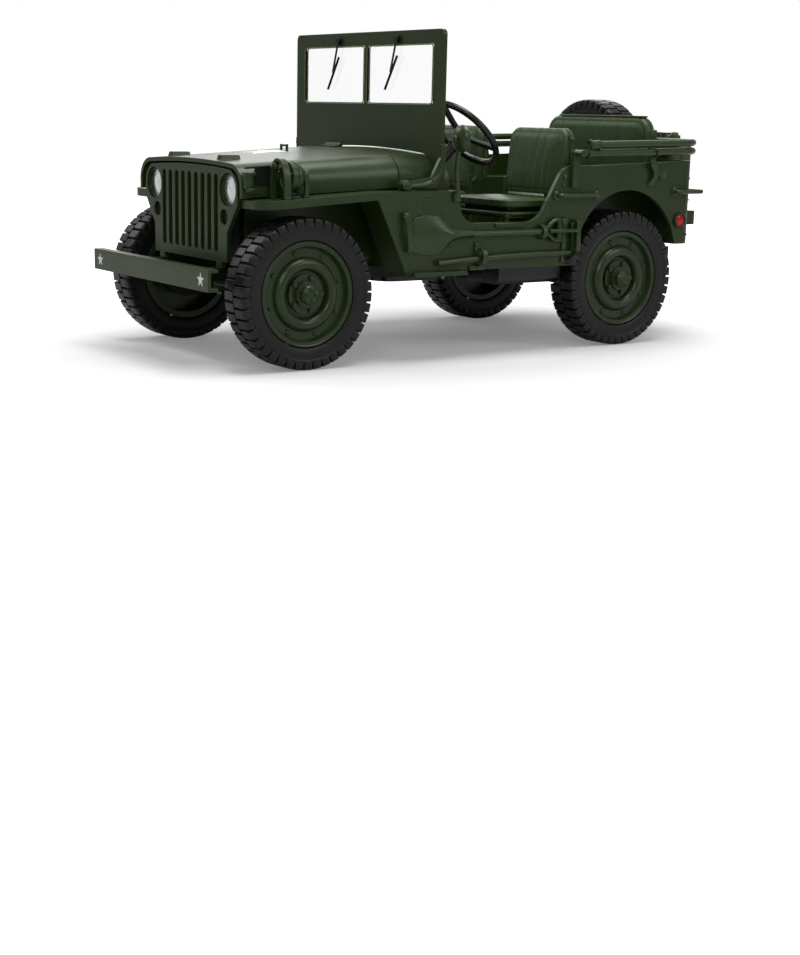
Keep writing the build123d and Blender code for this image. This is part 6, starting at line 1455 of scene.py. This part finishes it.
class BuildDash(bpy.types.Operator):
    """Dials, switches, plates and grab bar of the dashboard, and the steering wheel"""

    bl_idname = "army_model.dash"
    bl_label = "Dashboard fittings"

    # Places along X and Z and the radius of each dial; half sizes of each plate
    DIALS = ((8.6, 52.0, 2.2), (13.7, 51.8, 1.1), (3.9, 51.6, 1.1), (12.0, 48.9, 1.0), (5.9, 48.9, 1.0))
    PLATES = ((-15.2, 50.0, 2.4, 1.6), (-21.5, 50.0, 2.4, 1.6), (-27.9, 50.0, 2.4, 1.6),
              (-9.5, 53.6, 1.6, 0.9))
    SWITCH_PLATE = (-1.9, 52.9)
    KNOBS = ((12.5, 55.3), (7.3, 55.3))
    SWITCHES = ((24.5, 50.5), (21.1, 50.4), (20.0, 48.9), (17.4, 52.6), (-24.7, 55.4), (28.0, 53.4))
    SWITCH = [(0, -0.3), (0.9, -0.3), (0.9, 0.25), (0.45, 0.45), (0.4, 1.1), (0.55, 1.3), (0, 1.4)]
    # The rolled edge along the dashboard's top, and the grab bar's ends and place
    ROLL_Y = -9.35
    ROLL = [(32.5, 56.3), (26, 56.85), (14, 57.35), (0, 57.55), (-12, 57.4), (-21, 57.0)]
    BAR_X, BAR_Z, BAR_Y = (-14.8, -23.9), 53.6, (-9.2, -7.2)
    BAR_FOOT = [(0, -0.2), (0.95, -0.2), (0.95, 0.3), (0, 0.4)]
    # The steering wheel: hub, the way it faces, the way up its plane, radii of its rim
    HUB = Vector((18.5, 9.8, 63.2))
    FACING, UP = Vector((0, 0.714, 0.700)), Vector((0, -0.700, 0.714))
    RIM_RADIUS, RIM_THICK = 11.75, 0.98
    # Points of a spoke: distance out from the hub, and back from the rim's plane
    SPOKE = [(1.2, 0.9), (5, 0.8), (9, 0.3), (11.6, 0)]
    SPOKE_TURNS = (90, 210, 330)
    HUB_SECTION = [(0, -3.4), (1.3, -3.4), (1.5, -1.8), (2.2, -1.4), (2.3, -0.4), (1.9, 0.1), (1.1, 0.25),
                   (0, 0.3)]

    def execute(self, context):
        make("dash_dials", "dial_black", "body", self.dials, instead_of="instruments")
        make("dash_rings", "pale_plate", "body", self.rings)
        make("dash_plates", "pale_plate", "body", self.plates, instead_of="data_plates")
        make("dash_fittings", "olive_dark", "body", self.fittings)
        make("steering_wheel_rim", "black_plastic", "steering_wheel", self.wheel, 50,
             instead_of="steering_wheel")
        return {"FINISHED"}

    def dials(self, bm):
        for x, z, r in self.DIALS:
            add_lathe(bm, [(0, -0.3), (r, -0.3), (r, 0.3), (0, 0.3)], 28, (x, DASH_Y, z), BACKWARD)
        x, z = self.SWITCH_PLATE
        pill = rounded_rect(1.1, 2.3, 1.05)
        add_loft(bm, [[(x + a, DASH_Y + face, z + b) for a, b in pill] for face in (-0.3, 0.3)])

    def rings(self, bm):
        """A raised ring round each dial, and its hand"""
        for x, z, r in self.DIALS:
            ring = [(r * 0.86, 0.2), (r * 0.86, 0.5), (r + 0.18, 0.5), (r + 0.18, 0.1), (r, -0.1),
                    (r * 0.9, 0.1)]
            add_lathe(bm, ring, 28, (x, DASH_Y, z), BACKWARD, closed=True)
            turn = 0.6 + x * 0.4
            middle = Vector((x, DASH_Y + 0.34, z))
            tip = Vector((math.cos(turn), 0, math.sin(turn))) * (r * 0.6)
            add_bar(bm, [middle - tip * 0.3, middle + tip], 0.09, 6)

    def plates(self, bm):
        for x, z, half, rise in self.PLATES:
            add_block(bm, (x, DASH_Y - 0.05, z), (half, 0.25, rise), 0.12)

    def fittings(self, bm):
        for x, z in self.KNOBS:
            add_head(bm, (x, DASH_Y, z), BACKWARD, 0.95, 0.6, (-0.3, 1.1, 1.45, 1.5))
        for x, z in self.SWITCHES:
            add_lathe(bm, self.SWITCH, 14, (x, DASH_Y, z), BACKWARD)
        add_bar(bm, smooth_points([(x, self.ROLL_Y, z) for x, z in self.ROLL], 5), 0.62)
        (left, right), (root, front), z = self.BAR_X, self.BAR_Y, self.BAR_Z
        corners = [(left, root, z), (left, front, z), (right, front, z), (right, root, z)]
        add_bar(bm, rounded_path(corners, 0.9), 0.42)
        for x in self.BAR_X:
            add_lathe(bm, self.BAR_FOOT, 16, (x, DASH_Y, z), BACKWARD)

    def wheel(self, bm):
        """Rim, three flat spokes and the hub, facing the driver's seat"""
        rim = circle(self.RIM_THICK, 12, (self.RIM_RADIUS, 0))
        add_lathe(bm, rim, 72, self.HUB, self.FACING, closed=True)
        for turn in self.SPOKE_TURNS:
            out = Vector((1, 0, 0)) * math.cos(math.radians(turn)) + self.UP * math.sin(math.radians(turn))
            spoke = [self.HUB - self.FACING * back + out * along for along, back in self.SPOKE]
            add_strap(bm, smooth_points(spoke, 5), 1.9, 1.0, self.FACING)
        add_lathe(bm, self.HUB_SECTION, 28, self.HUB, self.FACING)


class BuildRear(bpy.types.Operator):
    """Lamp rings, reflectors, the can's pressed cross and the spare wheel's hub rings"""

    bl_idname = "army_model.rear_fittings"
    bl_label = "Rear fittings"

    TAIL_LAMP = (34.4, REAR_Y, 36.6)
    REFLECTOR = (SIDE_X, 78.9, 37.8)
    LAMP_RING = [(1.75, -0.2), (2.35, -0.2), (2.35, 0.7), (2.1, 0.95), (1.8, 0.9), (1.75, 0.6)]
    # The can: its middle and half width along X, its two faces along Y, and its foot and top
    CAN_X, CAN_HALF = 17.25, 9.75
    CAN_FRONT, CAN_BACK = 86.5, 96.5
    CAN_LOW, CAN_HIGH = 36.2, 61.0
    CROSS_Z, CROSS_REACH, CROSS_START = 48.6, (6.6, 7.9), 0.9
    CAP = (23.0, 91.5, 63.4)
    CAP_WIRE = [(23.0, 89.2, 63.0), (23.0, 90.6, 64.3), (23.0, 92.4, 64.3), (23.0, 93.8, 63.0)]
    # Hub rings of the spare: section, number of segments, and distance from the wheel's middle plane
    HUB_RINGS = (([(2.7, 0.1), (4.1, 0.1), (4.1, 0.55), (3.7, 0.75), (3.0, 0.75), (2.7, 0.55)], 36, 2.7),
                 ([(1.1, 0.0), (2.0, 0.0), (2.0, 0.5), (1.6, 0.7), (1.1, 0.6)], 28, 3.9))

    def execute(self, context):
        make("lamp_rings", "olive_dark", "body", self.rings)
        make("side_reflectors", "red_plastic", "body", self.reflectors)
        make("can_pressings", "olive_can", "body", self.can)
        make("spare_hub_ring", "olive_rim", "body", self.hub)
        return {"FINISHED"}

    def rings(self, bm):
        for side in SIDES:
            (lamp,), (reflector,) = mirrored([self.TAIL_LAMP], side), mirrored([self.REFLECTOR], side)
            add_lathe(bm, self.LAMP_RING, 32, lamp, BACKWARD, closed=True)
            add_lathe(bm, self.LAMP_RING, 32, reflector, (side, 0, 0), closed=True)
            add_block(bm, (lamp[0], REAR_Y + 0.2, 33.9), (1.5, 0.3, 0.7), 0.15)

    def reflectors(self, bm):
        for side in SIDES:
            (place,) = mirrored([self.REFLECTOR], side)
            add_head(bm, place, (side, 0, 0), 1.76, 1.3, (-0.2, 0.45, 0.75, 0.85), 32)

    def can(self, bm):
        """The pressed cross and frame on the can's back, its side seams, and its cap with the wire"""
        x, z, y = self.CAN_X, self.CROSS_Z, self.CAN_BACK
        for sx in SIDES:
            for sz in SIDES:
                ends = [(x + sx * a, y + 0.05, z + sz * b)
                        for a, b in ((self.CROSS_START, self.CROSS_START), self.CROSS_REACH)]
                add_strap(bm, ends, 1.25, 0.7, BACKWARD)
        add_block(bm, (x, y + 0.04, z), (1.4, 0.34, 1.4), 0.25)
        half, low, high, skin = self.CAN_HALF - 1.7, self.CAN_LOW + 4.3, self.CAN_HIGH - 2.6, y + 0.02
        corners = [(x + half, skin, high), (x + half, skin, low), (x - half, skin, low),
                   (x - half, skin, high)]
        start = (x - self.CAN_HALF + 4, skin, high)
        add_bar(bm, rounded_hoop(corners, start, 1.6, 5), 0.28, 8, closed=True)
        middle = (self.CAN_FRONT + self.CAN_BACK) / 2
        for side in (1, -1):
            seam = x + side * self.CAN_HALF * 0.999
            add_bar(bm, [(seam, middle, self.CAN_LOW + 4.2), (seam, middle, self.CAN_HIGH - 1.0)], 0.34, 8)
        add_head(bm, self.CAP, UPWARD, 1.15, 0.75, (0, 0.5, 0.8, 0.8), 20)
        add_bar(bm, self.CAP_WIRE, 0.3, 8)

    def hub(self, bm):
        for section, segments, depth in self.HUB_RINGS:
            add_lathe(bm, section, segments, SPARE + Vector(BACKWARD) * depth, BACKWARD, closed=True)


class SetRivets(bpy.types.Operator):
    """Rivets and screws on the sides, the cowl, the bumper and the rear panel"""

    bl_idname = "army_model.rivets"
    bl_label = "Rivets and screws"

    # Places along Y and Z on each side, and on both sides of the cowl
    LEFT = [(26.4, 43.2), (27.4, 40.9), (31.3, 39.8), (70.5, 51.5), (49.0, 51.8), (81.0, 50.2),
            (81.2, 43.6), (82.0, 33.4), (7.0, 35.2), (12.5, 35.2), (18.2, 35.2), (20.2, 29.0),
            (11.0, 28.0)]
    RIGHT = [(35.6, 42.4), (27.6, 40.8), (23.6, 40.6), (28.0, 50.9), (27.3, 48.8), (14.3, 38.4),
             (3.9, 37.8), (70.5, 51.5), (49.0, 51.8), (81.0, 50.2), (81.2, 43.6), (82.0, 33.4)]
    COWL = [(-18.6, 46.2), (-14.2, 46.2), (-10, 41.6), (-12.9, 41.5), (-10.2, 32.4), (-12.7, 32.3),
            (-7.9, 28.3), (-19.2, 44.9), (-20.8, 41.4), (-20.9, 35.2)]
    COWL_LEAST_X = 36
    BUMPER_COUNT, BUMPER_HALF, BUMPER_RIVET = 28, 33.5, (-84.55, 27.2)
    TAIL_X, TAIL_Z = 37.8, (50.6, 44.0, 33.2)
    TAIL_ROW, TAIL_ROW_Z = (-24, -12, 0, 12, 24), 33.0

    def execute(self, context):
        knob = dome_head(context.scene.model_sizes.rivet / MM, 0.3)
        sides = [((SIDE_X, y, z), (1, 0, 0)) for y, z in self.LEFT]
        sides += [((-SIDE_X, y, z), (-1, 0, 0)) for y, z in self.RIGHT]
        on_points("side_rivets", sides, knob, "olive_paint", "body")
        on_points("cowl_rivets", self.cowl(), knob, "olive_paint", "body")
        half, count = self.BUMPER_HALF, self.BUMPER_COUNT
        places = [-half + 2 * half * i / (count - 1) for i in range(count)]
        row = [((x, *self.BUMPER_RIVET), FORWARD) for x in places]
        on_points("bumper_rivets", row, knob, "olive_paint", "body", size=0.55)
        tail = [((x, REAR_Y, z), BACKWARD) for x in (-self.TAIL_X, self.TAIL_X) for z in self.TAIL_Z]
        tail += [((x, REAR_Y, self.TAIL_ROW_Z), BACKWARD) for x in self.TAIL_ROW]
        on_points("rear_rivets", tail, knob, "olive_paint", "body")
        return {"FINISHED"}

    def cowl(self):
        """Places on the curved cowl, found by rays from both sides"""
        shell = skin_of("tub")
        spots = []
        for side in SIDES:
            for y, z in self.COWL:
                hit = shell.ray_cast(Vector((60 * side, y, z)), Vector((-side, 0, 0)), 30)[0]
                if hit is not None and abs(hit.x) > self.COWL_LEAST_X:
                    spots.append((hit, (side, 0, 0)))
        return spots


class BuildStage(bpy.types.Operator):
    """Pale floor, soft studio lamps and the camera"""

    bl_idname = "army_model.stage"
    bl_label = "Stage, lamps and camera"

    FLOOR_HALF = 3
    # Where the floor's painted shade round the car ends and its white is full, and how far that shade is
    # drawn out along Y
    SHADE_FROM, SHADE_TO, SHADE_STRETCH = 0.06, 0.19, (1.0, 0.72, 0.0)
    SHADE_GLOW = 0.2
    GLOSSY_SHARE = 0.12
    AIM = (0, 0, 0.04)
    # The camera, as fitted to the photo: place, the way back from the view, roll to the right in degrees
    CAMERA = (0.40357, -0.28202, 0.06866)
    CAMERA_BACK = (0.79665, -0.56190, 0.22290)
    CAMERA_ROLL = 1.316

    def execute(self, context):
        stage = context.scene.model_stage
        self.floor()
        self.world(context, stage.daylight)
        self.lamp("lamp_overhead", (0.05, 0.05, 0.80), (0, 0, 0.03), stage.key, 0.5)
        self.lamp("lamp_front", (0.60, -0.60, 0.55), self.AIM, stage.fill, 0.4)
        self.lamp("lamp_side", (0.75, 0.45, 0.55), self.AIM, stage.fill, 0.4)
        self.lamp("lamp_right", (-0.65, -0.35, 0.55), self.AIM, stage.fill * 0.8, 0.4)
        self.lamp("lamp_back", (-0.70, 0.49, 0.48), self.AIM, stage.fill * 1.3, 0.7)
        self.camera(context, stage.lens)
        context.scene.view_settings.view_transform = "Standard"
        return {"FINISHED"}

    def floor(self):
        mesh = bpy.data.meshes.new("floor")
        half = self.FLOOR_HALF
        mesh.from_pydata([(-half, -half, 0), (half, -half, 0), (half, half, 0), (-half, half, 0)], [],
                         [(0, 1, 2, 3)])
        obj = bpy.data.objects.new("floor", mesh)
        bpy.context.scene.collection.objects.link(obj)
        mat = bpy.data.materials.new("floor_white")
        mat.use_nodes = True
        tree = mat.node_tree
        tree.nodes.clear()
        out = tree.nodes.new("ShaderNodeOutputMaterial")
        shade = add(tree, "ShaderNodeBsdfDiffuse", {"Color": (0.5, 0.5, 0.5, 1)})
        place = add(tree, "ShaderNodeTexCoord").outputs["Object"]
        flat = add(tree, "ShaderNodeVectorMath", {0: place, 1: self.SHADE_STRETCH}, operation="MULTIPLY")
        away = add(tree, "ShaderNodeVectorMath", {0: flat.outputs[0]}, operation="LENGTH")
        rise = add(tree, "ShaderNodeMapRange", {
            "Value": away.outputs["Value"], "From Min": self.SHADE_FROM, "From Max": self.SHADE_TO,
            "To Min": self.SHADE_GLOW, "To Max": 1.0})
        # The glow is weaker near the car, so the floor round it stays grey: painted shade that the real
        # shadow sits in
        seen = self.seen(tree, 1.0, 0.0)
        glow = add(tree, "ShaderNodeEmission", {
            "Color": (1, 1, 1, 1), "Strength": math_node(tree, "MULTIPLY", seen, rise.outputs[0])})
        both = add(tree, "ShaderNodeAddShader", {0: shade.outputs[0], 1: glow.outputs[0]})
        tree.links.new(both.outputs[0], out.inputs["Surface"])
        mesh.materials.append(mat)

    def seen(self, tree, on, off):
        """on for camera and transmission rays, a softer share for glossy ones, off for the rest"""
        path = add(tree, "ShaderNodeLightPath")
        gloss = math_node(tree, "MULTIPLY", path.outputs["Is Glossy Ray"], self.GLOSSY_SHARE)
        any_of = math_node(tree, "MAXIMUM", path.outputs["Is Camera Ray"], gloss)
        any_of = math_node(tree, "MAXIMUM", any_of, path.outputs["Is Transmission Ray"])
        value = math_node(tree, "MULTIPLY_ADD", any_of, on - off)
        value.node.inputs[2].default_value = off
        return value

    def world(self, context, daylight):
        """Even daylight, seen as white"""
        world = bpy.data.worlds.new("studio")
        context.scene.world = world
        world.use_nodes = True
        tree = world.node_tree
        tree.nodes.clear()
        out = tree.nodes.new("ShaderNodeOutputWorld")
        back = add(tree, "ShaderNodeBackground", {
            "Color": (1, 1, 1, 1), "Strength": self.seen(tree, 1.0, daylight)})
        tree.links.new(back.outputs[0], out.inputs["Surface"])

    def lamp(self, name, at, aim, power, size):
        light = bpy.data.lights.new(name, "AREA")
        light.shape = "DISK"
        light.size = size
        light.energy = power
        obj = bpy.data.objects.new(name, light)
        obj.matrix_world = Matrix.Translation(at) @ axes_to(Vector(at) - Vector(aim))
        obj.visible_camera = obj.visible_transmission = False
        bpy.context.scene.collection.objects.link(obj)

    def camera(self, context, lens):
        cam = bpy.data.cameras.new("camera")
        cam.lens = lens
        cam.sensor_width = 36
        cam.clip_start = 0.01
        cam.dof.use_dof = False
        obj = bpy.data.objects.new("camera", cam)
        context.scene.collection.objects.link(obj)
        back = Vector(self.CAMERA_BACK).normalized()
        right = (-back).cross(Vector((0, 0, 1))).normalized()
        up = right.cross(-back)
        roll = math.radians(self.CAMERA_ROLL)
        side = right * math.cos(roll) + up * math.sin(roll)
        top = up * math.cos(roll) - right * math.sin(roll)
        turn = Matrix((side, top, back)).transposed().to_4x4()
        obj.matrix_world = Matrix.Translation(self.CAMERA) @ turn
        context.scene.camera = obj


# Panel and registration
STEPS = [FinishSolids, BuildTyres, BuildWheelBolts, BuildLamps, BuildSeats, BuildWindshieldTrim,
         BuildLeftTools, BuildRightFittings, BuildHoodFittings, BuildDash, BuildRear, SetRivets,
         PaintStars, BuildStage]


class ModelPanel(bpy.types.Panel):
    """Lists the pieces of the model and their settings"""

    bl_idname = "VIEW3D_PT_army_model"
    bl_label = "Army 4x4 scale model"
    bl_space_type = "VIEW_3D"
    bl_region_type = "UI"
    bl_category = "Army 4x4"

    def draw(self, context):
        for settings in (context.scene.model_paint, context.scene.model_sizes, context.scene.model_stage):
            for key in settings.__annotations__:
                self.layout.prop(settings, key)
        for step in STEPS:
            self.layout.operator(step.bl_idname)


CLASSES = [ModelPaint, ModelSizes, ModelStage, *STEPS, ModelPanel]


def register():
    for cls in CLASSES:
        bpy.utils.register_class(cls)
    bpy.types.Scene.model_paint = bpy.props.PointerProperty(type=ModelPaint)
    bpy.types.Scene.model_sizes = bpy.props.PointerProperty(type=ModelSizes)
    bpy.types.Scene.model_stage = bpy.props.PointerProperty(type=ModelStage)


def unregister():
    del bpy.types.Scene.model_paint, bpy.types.Scene.model_sizes, bpy.types.Scene.model_stage
    for cls in reversed(CLASSES):
        bpy.utils.unregister_class(cls)


def main():
    register()
    for step in STEPS:
        family, action = step.bl_idname.split(".")
        getattr(getattr(bpy.ops, family), action)()


if __name__ == "__main__":
    main()
